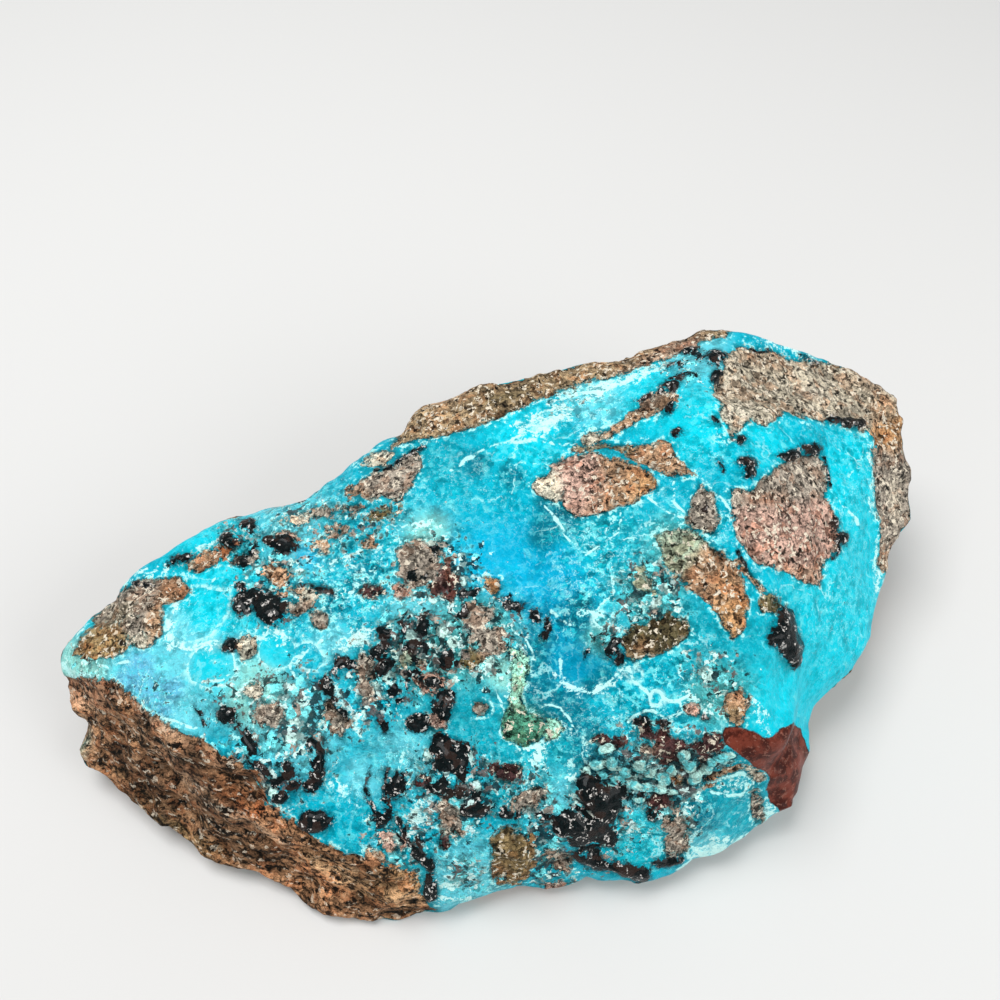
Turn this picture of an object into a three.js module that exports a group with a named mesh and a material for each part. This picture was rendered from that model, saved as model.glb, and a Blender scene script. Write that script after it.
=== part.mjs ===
// A raw piece of chrysocolla: one broken lump of brown host rock with a blue-green crust over its
// upper face, lying on its flattest side. Millimetres, +X to the right along the length, +Y away
// from the side with the layered wall, +Z up.
import * as THREE from "three";
import { ConvexHull } from "three/addons/math/ConvexHull.js";

// Heart of the stone, and the half sizes that even out directions seen from it.
const HEART = [2, -1, 9];
const HALF_SIZES = [42, 25, 12];

// Longest mesh edge allowed on the upper face and wall, on the far and lower sides, and on the
// resting face, which lies at the resting level.
const FINE_EDGE = 2.15;
const HIDDEN_EDGE = 2.5;
const BASE_EDGE = 7;
const REST_LEVEL = 0;

// How strongly the broken corners are worn, and how often.
const WEAR = 0.4;
const WEAR_ROUNDS = 2;

// Relief of the broken surface: swell, lumps and grain, each with its size and its height.
const SWELL_SIZE = 11;
const SWELL_HEIGHT = 0.7;
const LUMP_SIZE = 4.2;
const LUMP_HEIGHT = 0.7;
const GRAIN_SIZE = 2.3;
const GRAIN_HEIGHT = 0.4;

// Layering of the host rock, seen as ledges on the steep sides.
const LAYER_SPACING = 3.7;
const LAYER_DEPTH = 0.7;
const LAYER_WAVE = 1.3;
const LAYER_TILT = [0.1, -0.12, 1];

// The crust on the right flank is this much calmer than the rest.
const CALM_CRUST = 0.4;

// Points of the broken form, each [x, y, z], row by row.
const farLeftEdge = [
  [-41.8, -5.6, 10], [-41.5, -3.1, 11], [-38.4, -1.1, 12], [-35.8, 1.9, 13],
  [-31.1, 1, 13.8], [-29.6, 6.1, 15], [-24.3, 7.7, 15.5], [-19.4, 9.2, 15.5],
  [-16.9, 10.4, 16.5], [-13.4, 13.1, 17.5], [-9.7, 13, 18],
];
const farTopEdge = [
  [-9.6, 16.3, 17.3], [-9.2, 17.8, 18.5], [-6.6, 17.2, 20.5], [-2.2, 17.9, 22],
  [2.5, 17.2, 22.5], [7.1, 17.4, 22.5], [11.2, 20.5, 23], [14.8, 21.9, 23.5],
  [19.9, 24.2, 24.5], [22.7, 23.3, 24.3], [24.8, 23.3, 24], [30.8, 24.1, 22.5],
  [36.4, 23.9, 20.5], [39.9, 22.4, 19],
];
const rightEdge = [
  [42.2, 21.2, 18], [43.3, 19, 16.5], [42.6, 16.3, 15], [42.8, 14.8, 14],
  [43.1, 12.3, 13], [42.8, 9.7, 12], [41.2, 7.7, 10.5], [40.3, 6.2, 9.5],
  [38, 4.9, 9], [38.4, 3.1, 9], [37.3, 1.1, 9], [36.4, -2.6, 8],
  [35.6, -4.1, 7.5], [32.9, -5.2, 6.5], [30.8, -6.3, 6.5],
];
const redLobeEdge = [
  [30, -8.4, 6.5], [29.9, -9.9, 6], [29.2, -12.8, 5.5], [28.4, -14.9, 4.5],
  [27, -16.7, 3.8], [25.1, -17.5, 3], [24.4, -18.4, 2.5], [23.3, -18.7, 2.2],
];
const nearEdge = [
  [21.5, -19.8, 2], [19.9, -20.9, 2], [17.9, -21.3, 2], [16.6, -22.6, 1.5],
  [13.3, -23, 1.5], [9.3, -22.2, 3], [7.6, -22.3, 2.6], [6.5, -23.8, 1.2],
  [4.7, -24.1, 1], [1.9, -23.5, 1.4], [-1.7, -23.4, 1], [-2.8, -24.7, 0.6],
  [-5.7, -25.6, 0.2], [-9.1, -25.6, 0.2], [-12.7, -25.6, 0.2], [-16.7, -25.6, 0.2],
];
const wallFoot = [
  [-19.7, -23.9, 1], [-22, -22.6, 1.6], [-25.8, -21.8, 2], [-29.5, -20.2, 2.3],
  [-32.5, -18.6, 2.5], [-33.2, -17.6, 3], [-37, -14.5, 3.2], [-39.9, -13, 3.5],
  [-40.2, -12.3, 4.5], [-39.8, -11, 5.5], [-39.3, -9.4, 6.2], [-42.1, -8.2, 7.2],
  [-41.7, -7, 8.5],
];
const wallTop = [
  [-38.9, -7.4, 11], [-34.9, -8.8, 12], [-32.6, -11.2, 12], [-29, -13.7, 12.5],
  [-26.5, -14.5, 13], [-22.1, -16.8, 13], [-21.1, -17.6, 12.3], [-20.1, -19.6, 10.5],
  [-17.3, -21.1, 9.5], [-15.7, -22.1, 8.5], [-13.1, -23, 7.8], [-9.5, -23.4, 7],
  [-8, -24.8, 4], [-5.4, -25.3, 2.2],
];
const wallGroove = [
  [-37.5, -10.4, 7.4], [-33.6, -13.6, 7], [-29, -16.9, 6.6], [-24.6, -19.3, 6.2],
];
const leftPlateau = [
  [-35.3, -4.9, 12.5], [-31.7, -2.4, 13.8], [-26.8, -3.4, 14.5], [-31.3, -8.2, 13.2],
  [-25.9, -8.1, 14.2], [-23.8, -12.7, 13.8], [-24.4, 2, 15.5], [-18.7, 1.5, 16.3],
  [-19.9, -6.4, 15.5], [-18.4, -11.6, 14.3], [-17.2, -17, 12], [-13.8, -19.1, 10.5],
  [-12.8, -14.8, 13.2], [-11.2, -21.2, 9],
];
const middleFace = [
  [-12, 12.3, 18], [-8.3, 7.6, 19], [-14.3, 6.3, 17.6], [-12.8, -1.2, 17.2],
  [-8.2, 0.3, 18.2], [-7, -7.2, 17.2], [-9.1, -11.2, 15.5], [-5.1, -15, 13.8],
  [-2.6, -10.4, 15.8], [-6, -19.9, 10.2], [-7.9, -23, 7], [-3.5, -22.2, 7.6],
  [0, -17.9, 12], [1.8, -21.8, 6.5],
];
const blueHollow = [
  [-6.7, 10.7, 19.3], [-2.8, 6.5, 19], [0, 1.8, 18.4], [3.6, -3.9, 17.4],
  [6.5, -9.1, 16.2], [7.7, -13.5, 14.6], [5.2, -16.4, 12.6],
];
const upperFace = [
  [-9.9, 13.2, 18.5], [-4.8, 12.7, 20.2], [1.9, 14.1, 21.6], [8.7, 16.4, 22.8],
  [14.6, 18.9, 24], [5.7, 10, 21.4], [8.3, 6.4, 21.5], [12.8, 6.6, 22],
  [11.3, 11.9, 22.7], [17, 3.8, 22.8], [14.1, -1.1, 20.6], [12.2, -6.1, 18.8],
];
const mainRidge = [
  [19, 16.8, 25], [19.9, 11.4, 24.8], [20, 7.6, 24.4], [20.7, 2.7, 23.6],
  [21.5, -1.2, 22.4], [22.2, -5.1, 20.6], [23, -8, 18.8], [23.5, -10.9, 17],
  [23.1, -13.4, 15.3], [25.1, -14.5, 13.5],
];
const nearFlank = [
  [1.7, -14.9, 13.4], [8.5, -15.9, 13.8], [12.7, -15, 14.8], [17, -15.3, 14.6],
  [20.9, -14, 15.2], [7, -19.6, 8.5], [12.2, -19.7, 8.8], [16.7, -19.7, 8],
  [20.9, -17.4, 9.5], [24.2, -16.3, 9], [20.3, -19.6, 4.5], [13.4, -21.4, 5],
  [8.9, -21, 5.2], [16.9, -12, 17.4],
];
const rightFlank = [
  [28.1, 15.9, 22.4], [32.6, 16.3, 20.4], [37.2, 15.3, 17.8], [37.3, 11.3, 15.8],
  [37.6, 7.9, 13.6], [37.9, 5.7, 11.8], [27.1, 9.2, 21.6], [31.7, 5.1, 17.6],
  [25.3, -1.5, 19.6], [31.4, -0.6, 14.4], [27.2, -5.9, 14.6], [32.9, -3.6, 10.4],
  [28.4, -7.8, 10.5], [36.2, 0.8, 10],
];
const rightBand = [
  [39.6, 15.9, 16.2], [40.2, 12.5, 14], [40.1, 9.6, 11.8], [39.7, 7, 10.2],
];
const farWall = [
  [-41, -4, 6], [-37.5, 2, 6], [-31.5, 5.2, 7], [-25.5, 9, 6.5], [-17, 12.8, 7.5],
  [-11, 16.6, 8.5], [-4, 20, 11], [4, 21.6, 8.5], [12.5, 23.8, 12.5], [20.5, 25.4, 10],
  [29, 25.2, 11.5], [36, 24.6, 9], [38.6, 23.8, 14], [41.2, 21.4, 11.5], [42.2, 17, 9.5],
  [41.6, 12, 8], [39.8, 6.4, 5.5],
];
const footRing = [
  [-36, -12.4, 1.9], [-27.5, -18.6, 1.2], [-19.5, -22.6, 0.3], [1.5, -21.8, 0.6],
  [9.5, -20.8, 1.2], [17.5, -19.6, 1], [24.6, -15.6, 1.6], [28.2, -8.6, 2.4],
  [33, -3, 2.6], [36.8, 3.6, 2.2], [38.6, 12, 2], [37.4, 20.4, 2.4], [28.5, 23.6, 2.8],
  [17.5, 23.8, 2], [6, 20.2, 1.8], [-5, 18.2, 2.4], [-16, 11.4, 1.6], [-27, 6.4, 1.8],
  [-36.4, -0.6, 2.6], [-38.8, -8, 3],
];
const restRing = [
  [-31, -9.5, -0.7], [-26, -15.2, -0.7], [-19, -20.8, -0.6], [-15.6, -24.6, -0.5],
  [-6.4, -24.4, -0.5], [0, -19.6, -0.7], [9, -17.4, -0.7], [18, -15.4, -0.7],
  [23.4, -9, -0.7], [29, -1.5, -0.7], [32.4, 7, -0.7], [30, 16.4, -0.7], [19, 18.6, -0.7],
  [6, 15.4, -0.7], [-5, 12.6, -0.7], [-16, 6.4, -0.7], [-27, 0.6, -0.7],
];
const underFace = [
  [-20, -7, -1.5], [-10, -14, -1.5], [-6, 4, -1.5], [6, -8, -1.5], [12, 8, -1.5],
  [21, -2, -1.5], [24, 10, -1.5],
];
const formRows = [
  farLeftEdge, farTopEdge, rightEdge, redLobeEdge, nearEdge, wallFoot, wallTop, wallGroove,
  leftPlateau, middleFace, blueHollow, upperFace, mainRidge, nearFlank, rightFlank, rightBand,
  farWall, footRing, restRing, underFace,
];

// Black oxide knobs standing on the upper face, each [x, y, radius].
const KNOB_RISE = 0.6;
const blackKnobs = [
  [-23.8, -2.3, 1.2], [-20.9, -3.2, 1.9], [-24.2, -6.6, 1.1], [-23.7, -12.9, 1.2],
  [-21.6, -15.4, 1.1], [-19.2, -17.6, 1.2], [-16, -15.8, 1.5], [-18.9, -18.9, 1.1],
  [-15.8, -20.8, 1.9], [-24.3, 5.7, 1], [-25.9, 4.4, 1], [-14.4, -9.4, 1.2],
  [-8.1, -5.9, 1.3], [-10.1, -7.4, 1.3], [-6.4, -8, 1.4], [-9.4, -10.3, 1.5],
  [-6.1, -10.6, 1.6], [-4.9, -12.1, 1.2], [-7, -13.6, 1.6], [-4.4, -16.4, 2.3],
  [6.5, -20.1, 1.7], [8.5, -18.6, 1.4], [8.1, -22.6, 1.5], [25.5, -6.6, 1.6],
  [22.3, 7.2, 1.1], [21, 17.6, 1.2],
];

// Pieces of host rock held in the crust, each [x, y, long radius, short radius, turn, rise].
const rockPieces = [
  [8.9, 6.6, 5.4, 2.7, 0, 0.35], [14, 8.6, 3.2, 1.3, 0, 0.3], [12.5, 13.8, 4.6, 1.2, 30, 0.3],
  [18.1, 3.1, 2.5, 1.5, 100, 0.3], [26.1, 4, 5.3, 4, 100, 0.4], [18, -2.9, 5.8, 2.2, 125, 0.4],
  [12.9, -7.8, 3.4, 1.6, 20, 0.35], [-34.2, -3.4, 4.8, 3, 35, 0.4], [-11.4, 9.2, 3.8, 2, 45, 0.35],
  [0.9, -22.6, 2.9, 2.2, 70, 0.3], [24.4, -14.2, 4.4, 3.2, 160, 0.6], [14, -15, 4.2, 1.6, 0, 0.4],
  [20.9, -12.6, 2, 1.7, 0, 0.3],
];

// Hollows where the crust dips, each [x, y, long radius, short radius, turn, rise].
const hollows = [
  [0.5, 1.6, 7.5, 5, 120, -0.7], [7, -9.3, 2.8, 2.4, 0, -0.55], [4.5, -4.5, 5, 3, 120, -0.45],
  [-14.5, -13, 2.4, 1.4, 90, -0.6], [-11.2, -16.4, 1.8, 1.2, 60, -0.6], [3.4, -13, 2.6, 1.6, 20, -0.5],
  [30.4, 11.4, 3.4, 1.8, 160, -0.4], [30.6, -2.4, 3.2, 2, 100, -0.35], [-17.5, 4.6, 3, 1.6, 20, -0.4],
];

// Repeatable value in 0 to 1 for a lattice cell; the large odd factors only scatter it.
function cellValue(i, j, k, salt) {
  let h = Math.imul(i, 374761393) ^ Math.imul(j, 668265263) ^ Math.imul(k, 2147483647);
  h ^= Math.imul(salt, 974634777);
  h = Math.imul(h ^ (h >>> 13), 1274126177);
  h = Math.imul(h ^ (h >>> 15), 2246822519);
  return ((h ^ (h >>> 16)) >>> 0) / 4294967296;
}

function fade(t) {
  return t * t * t * (t * (t * 6 - 15) + 10);
}

function ramp(from, to, value) {
  const t = Math.min(1, Math.max(0, (value - from) / (to - from)));
  return t * t * (3 - 2 * t);
}

// Smooth random height between -1 and 1 with features of the given size.
function softNoise(p, size, salt) {
  const q = p.map((c) => c / size);
  const base = q.map(Math.floor);
  const t = q.map((c, n) => fade(c - base[n]));
  let sum = 0;
  for (let corner = 0; corner < 8; corner++) {
    const step = [corner & 1, (corner >> 1) & 1, (corner >> 2) & 1];
    let weight = 1;
    for (let n = 0; n < 3; n++) {
      weight *= step[n] ? t[n] : 1 - t[n];
    }
    sum += weight * cellValue(base[0] + step[0], base[1] + step[1], base[2] + step[2], salt);
  }
  return 2 * sum - 1;
}

// Rounded knobs packed side by side: 1 on the middle of a knob, 0 in the joints.
function knobNoise(p, size, salt) {
  const q = p.map((c) => c / size);
  const base = q.map(Math.floor);
  let nearest = 1;
  for (let i = -1; i <= 1; i++) {
    for (let j = -1; j <= 1; j++) {
      for (let k = -1; k <= 1; k++) {
        const cell = [base[0] + i, base[1] + j, base[2] + k];
        const d = cell.map((c, n) => c + cellValue(cell[0], cell[1], cell[2], salt + n) - q[n]);
        nearest = Math.min(nearest, d[0] * d[0] + d[1] * d[1] + d[2] * d[2]);
      }
    }
  }
  return 1 - nearest;
}

// Closed cage of flat facets through the form points, joined as seen from the heart.
function makeCage() {
  const points = formRows.flat();
  const seen = points.map((p) => {
    const v = new THREE.Vector3(...p.map((c, n) => (c - HEART[n]) / HALF_SIZES[n]));
    return v.normalize();
  });
  const index = new Map(seen.map((v, n) => [v, n]));
  const hull = new ConvexHull().setFromPoints(seen);
  const faces = [];
  for (const face of hull.faces) {
    const ring = [];
    let edge = face.edge;
    do {
      ring.push(index.get(edge.head().point));
      edge = edge.next;
    } while (edge !== face.edge);
    for (let n = 1; n + 1 < ring.length; n++) {
      faces.push([ring[0], ring[n], ring[n + 1]]);
    }
  }
  return { points: points.map((p) => [...p]), faces };
}

function distance(a, b) {
  return Math.hypot(a[0] - b[0], a[1] - b[1], a[2] - b[2]);
}

// Longest edge allowed between two points, by the side of the stone that it lies on.
function longestEdge(p, q) {
  if (p[2] < REST_LEVEL && q[2] < REST_LEVEL) {
    return BASE_EDGE;
  }
  const [, away, up] = HEART.map((c, n) => ((p[n] + q[n]) / 2 - c) / HALF_SIZES[n]);
  const length = Math.hypot(away, up);
  const farOrLow = (away > 0 && up < 0.95 * length) || up < -0.75;
  return farOrLow && up < 0.9 ? HIDDEN_EDGE : FINE_EDGE;
}

// Halves every edge longer than allowed, until none is left.
function refine(mesh) {
  const { points } = mesh;
  let faces = mesh.faces;
  for (;;) {
    const middles = new Map();
    const middle = (a, b) => {
      const key = a < b ? a * 65536 + b : b * 65536 + a;
      if (!middles.has(key)) {
        const p = points[a];
        const q = points[b];
        const long = distance(p, q) > longestEdge(p, q);
        middles.set(key, long ? points.push(p.map((c, n) => (c + q[n]) / 2)) - 1 : -1);
      }
      return middles.get(key);
    };
    const next = [];
    for (const corners of faces) {
      const [a, b, c] = corners;
      const halves = [middle(a, b), middle(b, c), middle(c, a)];
      const count = halves.filter((m) => m >= 0).length;
      if (count === 0) {
        next.push(corners);
      } else if (count === 3) {
        const [ab, bc, ca] = halves;
        next.push([a, ab, ca], [ab, b, bc], [ca, bc, c], [ab, bc, ca]);
      } else if (count === 1) {
        const n = halves.findIndex((m) => m >= 0);
        const [p, q, r] = [corners[n], corners[(n + 1) % 3], corners[(n + 2) % 3]];
        next.push([p, halves[n], r], [halves[n], q, r]);
      } else {
        const n = halves.findIndex((m) => m < 0);
        const [p, q, r] = [corners[n], corners[(n + 1) % 3], corners[(n + 2) % 3]];
        const qr = halves[(n + 1) % 3];
        const rp = halves[(n + 2) % 3];
        next.push([r, rp, qr]);
        if (distance(points[p], points[qr]) < distance(points[q], points[rp])) {
          next.push([p, q, qr], [p, qr, rp]);
        } else {
          next.push([p, q, rp], [q, qr, rp]);
        }
      }
    }
    if (next.length === faces.length) {
      return { points, faces };
    }
    faces = next;
  }
}

function neighbours(mesh) {
  const near = mesh.points.map(() => new Set());
  for (const [a, b, c] of mesh.faces) {
    near[a].add(b).add(c);
    near[b].add(c).add(a);
    near[c].add(a).add(b);
  }
  return near.map((set) => [...set]);
}

// Wears the corners by pulling each point part of the way to the middle of its neighbours.
function wear(mesh) {
  const near = neighbours(mesh);
  for (let round = 0; round < WEAR_ROUNDS; round++) {
    mesh.points = mesh.points.map((p, n) => {
      const ring = near[n];
      return p.map((c, k) => {
        const mean = ring.reduce((sum, m) => sum + mesh.points[m][k], 0) / ring.length;
        return c + WEAR * (mean - c);
      });
    });
  }
}

function normals(mesh) {
  const sum = mesh.points.map(() => new THREE.Vector3());
  for (const face of mesh.faces) {
    const [a, b, c] = face.map((n) => new THREE.Vector3(...mesh.points[n]));
    const across = b.sub(a).cross(c.sub(a));
    face.forEach((n) => sum[n].add(across));
  }
  return sum.map((v) => v.normalize());
}

// How deep a point lies inside an oval seen from above: 1 in the middle, 0 on the rim and beyond.
function insideOval(p, [x, y, long, short, turn]) {
  const angle = THREE.MathUtils.degToRad(turn);
  const u = (p[0] - x) * Math.cos(angle) + (p[1] - y) * Math.sin(angle);
  const v = (p[1] - y) * Math.cos(angle) - (p[0] - x) * Math.sin(angle);
  return Math.max(0, 1 - Math.hypot(u / long, v / short));
}

// Height of the named knobs, rock pieces and hollows of the upper face at one point.
function markedRelief(p) {
  let height = 0;
  for (const [x, y, radius] of blackKnobs) {
    const t = Math.hypot(p[0] - x, p[1] - y) / radius;
    height = Math.max(height, KNOB_RISE * Math.sqrt(Math.max(0, 1 - t * t)));
  }
  for (const piece of rockPieces) {
    const inside = ramp(0, 0.3, insideOval(p, piece));
    height += inside * (piece[5] + 0.25 * softNoise(p, 1.9, 7));
  }
  for (const hollow of hollows) {
    height += hollow[5] * ramp(0, 0.8, insideOval(p, hollow));
  }
  return height;
}

// Height of the ledges where layers of the host rock break off, on the wall and the far side.
function ledges(p) {
  const depth = p.reduce((sum, c, n) => sum + c * LAYER_TILT[n], LAYER_WAVE * softNoise(p, 8, 5));
  const along = depth / LAYER_SPACING - Math.floor(depth / LAYER_SPACING);
  const ledge = ramp(0, 0.6, along) * (1 - ramp(0.68, 1, along)) - 0.5;
  const nearFlankShare = ramp(-6, 2, p[0]) * (1 - ramp(4, 10, p[1]));
  const broken = 0.65 + 0.35 * softNoise(p, 9, 6);
  return LAYER_DEPTH * (1 - nearFlankShare) * broken * ledge;
}

// Height of the whole relief above the worn form at one point.
function relief(p, normal) {
  const steep = 1 - ramp(0.3, 0.75, Math.abs(normal.z));
  const upper = ramp(0.2, 0.5, normal.z);
  const calm = ramp(21, 27, p[0]) * (1 - ramp(11, 15, p[1])) * ramp(-12, -8, p[1]);
  const rough = 1 - (1 - CALM_CRUST) * calm;
  const swell = SWELL_HEIGHT * softNoise(p, SWELL_SIZE, 1);
  const lumps = LUMP_HEIGHT * (knobNoise(p, LUMP_SIZE, 2) - 0.55);
  const grain = GRAIN_HEIGHT * softNoise(p, GRAIN_SIZE, 3);
  const broad = rough * (swell + lumps + grain);
  return broad + (1 - calm) * steep * ledges(p) + upper * markedRelief(p);
}

function roughen(mesh) {
  const out = normals(mesh);
  mesh.points = mesh.points.map((p, n) => {
    const h = relief(p, out[n]);
    return [p[0] + h * out[n].x, p[1] + h * out[n].y, p[2] + h * out[n].z];
  });
}

// Levels everything below the resting level into one flat face.
function rest(mesh) {
  mesh.points.forEach((p) => {
    p[2] = Math.max(REST_LEVEL, p[2]);
  });
}

// Indexed geometry of the mesh, its box centred over the origin and standing on it.
function toGeometry(mesh) {
  const box = new THREE.Box3().setFromPoints(mesh.points.map((p) => new THREE.Vector3(...p)));
  const middle = box.getCenter(new THREE.Vector3());
  const flat = mesh.points.flatMap((p) => [p[0] - middle.x, p[1] - middle.y, p[2] - box.min.z]);
  const geometry = new THREE.BufferGeometry();
  geometry.setAttribute("position", new THREE.Float32BufferAttribute(flat, 3));
  geometry.setIndex(mesh.faces.flat());
  geometry.computeVertexNormals();
  return geometry;
}

const stone = refine(makeCage());
wear(stone);
roughen(stone);
rest(stone);

const crust = new THREE.MeshStandardMaterial({ color: 0x2fa7b4, roughness: 0.45, metalness: 0 });
const chrysocolla = new THREE.Mesh(toGeometry(stone), crust);
chrysocolla.name = "chrysocolla_stone";

const part = new THREE.Group();
part.name = "raw_chrysocolla";
part.add(chrysocolla);
export default part;
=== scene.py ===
"""Raw chrysocolla stone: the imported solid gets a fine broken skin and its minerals.

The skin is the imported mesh, split in four twice and raised by worked-out relief. Where each mineral
lies is held in vertex attributes: signed distances to patches that are placed by photograph pixels
on the side the photograph shows, and by noise on the hidden sides. The material turns them into
crust, host rock, pebbles, black oxide, pale silica and jasper, with a ragged edge between them.
"""
import math
from types import SimpleNamespace

import bpy
import numpy as np
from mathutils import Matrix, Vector


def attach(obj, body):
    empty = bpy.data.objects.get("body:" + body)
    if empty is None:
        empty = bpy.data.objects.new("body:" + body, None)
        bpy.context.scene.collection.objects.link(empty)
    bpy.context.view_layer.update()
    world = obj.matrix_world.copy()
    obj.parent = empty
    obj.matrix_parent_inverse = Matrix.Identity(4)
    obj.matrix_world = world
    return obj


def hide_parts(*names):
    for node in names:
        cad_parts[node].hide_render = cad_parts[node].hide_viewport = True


STONE = "chrysocolla_stone"
MM = 0.001

# The photograph's camera, in the stone's frame: place in mm, tilt below the horizon, focal length
# and picture centre in pixels of the 1000 pixel square picture.
CAMERA_PLACE = np.array([-0.34, -44.64, 93.5])
CAMERA_TILT = math.radians(55.0)
FOCAL_PIXELS = 966.0
PICTURE = 1000
SENSOR_MM = 36.0

# The studio: half the floor's side in metres, the lights in watts, and in mm the side of each square
# light and the place that both are turned to.
FLOOR_HALF = 2.0
SKY_STRENGTH = 0.46
KEY_WATTS = 1.02
FILL_WATTS = 0.5
LIGHT_SIDE = 200
LIT_PLACE = (0, 0, 8)

# Signed distances are kept within this many pixels of the photograph, about 11 to a millimetre.
REACH = 14.0

# Rounds of averaging with the neighbours, for what a point faces and for its hollows, which get painted
# shade.
SOFTENING = 6

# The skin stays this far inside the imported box, and its relief fades in above the resting face.
INSIDE_MM = 0.01
FOOT_MM = 0.5


# Minerals as they look in daylight, in display values.
AZURE = (0.0, 0.70, 0.87)
DEEP_BLUE = (0.0, 0.58, 0.73)
DEEP_TEAL = (0.0, 0.44, 0.53)
SEA = (0.0, 0.69, 0.79)
TURQUOISE = (0.02, 0.64, 0.72)
CYAN = (0.0, 0.83, 0.91)
ICE = (0.42, 0.83, 0.89)
MINT = (0.62, 0.90, 0.85)
LEAF = (0.22, 0.50, 0.38)
GREY_TEAL = (0.30, 0.64, 0.63)
PALE_GREEN = (0.62, 0.70, 0.61)

WALL_BROWN = (0.53, 0.39, 0.28)
TAN = (0.68, 0.54, 0.42)
PINKISH = (0.73, 0.60, 0.54)
ORANGE = (0.73, 0.56, 0.39)
RUST = (0.55, 0.32, 0.18)
GREY_BROWN = (0.60, 0.56, 0.51)
OLIVE = (0.46, 0.42, 0.29)
CREAM = (0.82, 0.80, 0.72)
MAROON = (0.30, 0.20, 0.20)
HUMP_TAN = (0.62, 0.53, 0.41)
HOST_PALE = (0.72, 0.68, 0.60)
GOLD = (0.64, 0.54, 0.38)
GOLD_BROWN = (0.53, 0.45, 0.31)
MOSS = (0.26, 0.52, 0.42)
FOAM = (0.64, 0.90, 0.80)
LAVENDER = (0.40, 0.73, 0.88)
# Painted shade: the dark brown of the wall's crevices.
CREVICE_SHADE = (0.22, 0.15, 0.10)
# Painted shade on the lower middle of the wall.
WALL_SHADE = (0.25, 0.19, 0.145)
WALL_TOP = (0.55, 0.42, 0.34)
WALL_LIGHT = (0.85, 0.70, 0.53)
DARK_OLIVE = (0.33, 0.30, 0.21)

# How far the shared warp moves a pattern, and how rough the smoother minerals are.
WARP_MM = 1.1
JASPER_ROUGHNESS = 0.38
OXIDE_ROUGHNESS = 0.30

# Fine marks in the crust.
BRIGHT_CYAN = (0.05, 0.88, 0.93)
MILK = (0.50, 0.92, 0.93)
SPECKLE = (0.28, 0.93, 0.96)
NET_WHITE = (0.50, 0.97, 0.98)
LINE_WHITE = (0.76, 1.0, 0.99)
SILICA_WHITE = (0.82, 1.0, 0.98)
RIM_WHITE = (0.74, 1.0, 0.98)
# Painted shadow: dark teal in the crust around the host rock.
CLAST_SHADOW = (0.08, 0.40, 0.42)
OXIDE_HALO = (0.02, 0.20, 0.24)

# Crumbs in the broken crust, each with the cell value above which it is found.
CRUMBS = [
    (0.50, (0.48, 0.93, 0.95)), (0.62, (0.80, 0.95, 0.91)), (0.71, (0.66, 0.58, 0.52)),
    (0.80, (0.40, 0.33, 0.31)), (0.90, (0.10, 0.09, 0.11)),
]
FROSTED_CHIP = (0.86, 0.98, 0.96)
DARK_CHIP = (0.07, 0.07, 0.09)
CRUMB_JOINT = (0.04, 0.12, 0.14)

# Fine marks in the host rock, the jasper, the oxide and the pebbles; the glints and the layer highlight are
# painted highlights, the pits painted shade.
WARM_WASH = (1.0, 0.72, 0.52)
# Painted highlight along the layers of the steep faces.
LAYER_HIGHLIGHT = (0.82, 0.65, 0.50)
# Painted highlight on rock grains and flakes.
GLINT = (1.0, 0.95, 0.86)
# Painted shade in the pits of the rock.
PIT_SHADE = (0.11, 0.07, 0.05)
GREEN_BLUSH = (0.30, 0.72, 0.72)
ROCK_JOINT = (0.05, 0.06, 0.06)
JASPER_SHADE = (0.26, 0.10, 0.07)
JASPER_RED = (0.47, 0.22, 0.165)
JASPER_FLECK = (0.62, 0.42, 0.36)
JASPER_RIM = (0.10, 0.05, 0.04)
OXIDE_BLACK = (0.01, 0.014, 0.02)
OXIDE_GREY = (0.10, 0.095, 0.10)
OXIDE_BROWN = (0.24, 0.16, 0.13)
# Painted highlights on the oxide.
OXIDE_GLINT = (0.86, 0.84, 0.82)
PEBBLE_TEAL = (0.42, 0.82, 0.84)
PEBBLE_PALE = (0.74, 0.93, 0.89)
PEBBLE_JOINT = (0.05, 0.08, 0.10)


def linear(colour):
    """Display colour to linear light, channel by channel: ((c + 0.055) / 1.055) to the 2.4."""
    c = np.asarray(colour, float)
    return np.where(c <= 0.04045, c / 12.92, ((c + 0.055) / 1.055) ** 2.4)


# Shapes on the picture: each gives the signed distance in pixels, positive inside.

def oval(x, y, across, down=None, turn=0.0):
    """Rim distance of an ellipse: one less the scaled radius, times the shorter half size."""
    down = across if down is None else down
    c, s = math.cos(math.radians(turn)), math.sin(math.radians(turn))

    def distance(u, v):
        a = ((u - x) * c + (v - y) * s) / across
        b = ((v - y) * c - (u - x) * s) / down
        return (1 - np.hypot(a, b)) * min(across, down)
    return distance


def segment_distance(u, v, p, q):
    """Distance from each point to the straight line between p and q, ends included."""
    along = np.subtract(q, p)
    t = ((u - p[0]) * along[0] + (v - p[1]) * along[1]) / max(1e-9, along @ along)
    t = np.clip(t, 0, 1)
    return np.hypot(u - p[0] - t * along[0], v - p[1] - t * along[1])


def streak(points, width):
    """Half the width less the distance to a line through the points."""
    def distance(u, v):
        near = [segment_distance(u, v, p, q) for p, q in zip(points, points[1:])]
        return width / 2 - np.min(near, axis=0)
    return distance


def patch(points):
    """Distance to a closed outline, positive where an odd number of its sides lie to the right."""
    ring = list(zip(points, points[1:] + points[:1]))

    def distance(u, v):
        near = np.min([segment_distance(u, v, p, q) for p, q in ring], axis=0)
        inside = np.zeros(u.shape, bool)
        for (px, py), (qx, qy) in ring:
            if py != qy:
                crosses = (py > v) != (qy > v)
                inside ^= crosses & (u < (qx - px) * (v - py) / (qy - py) + px)
        return np.where(inside, near, -near)
    return distance


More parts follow.
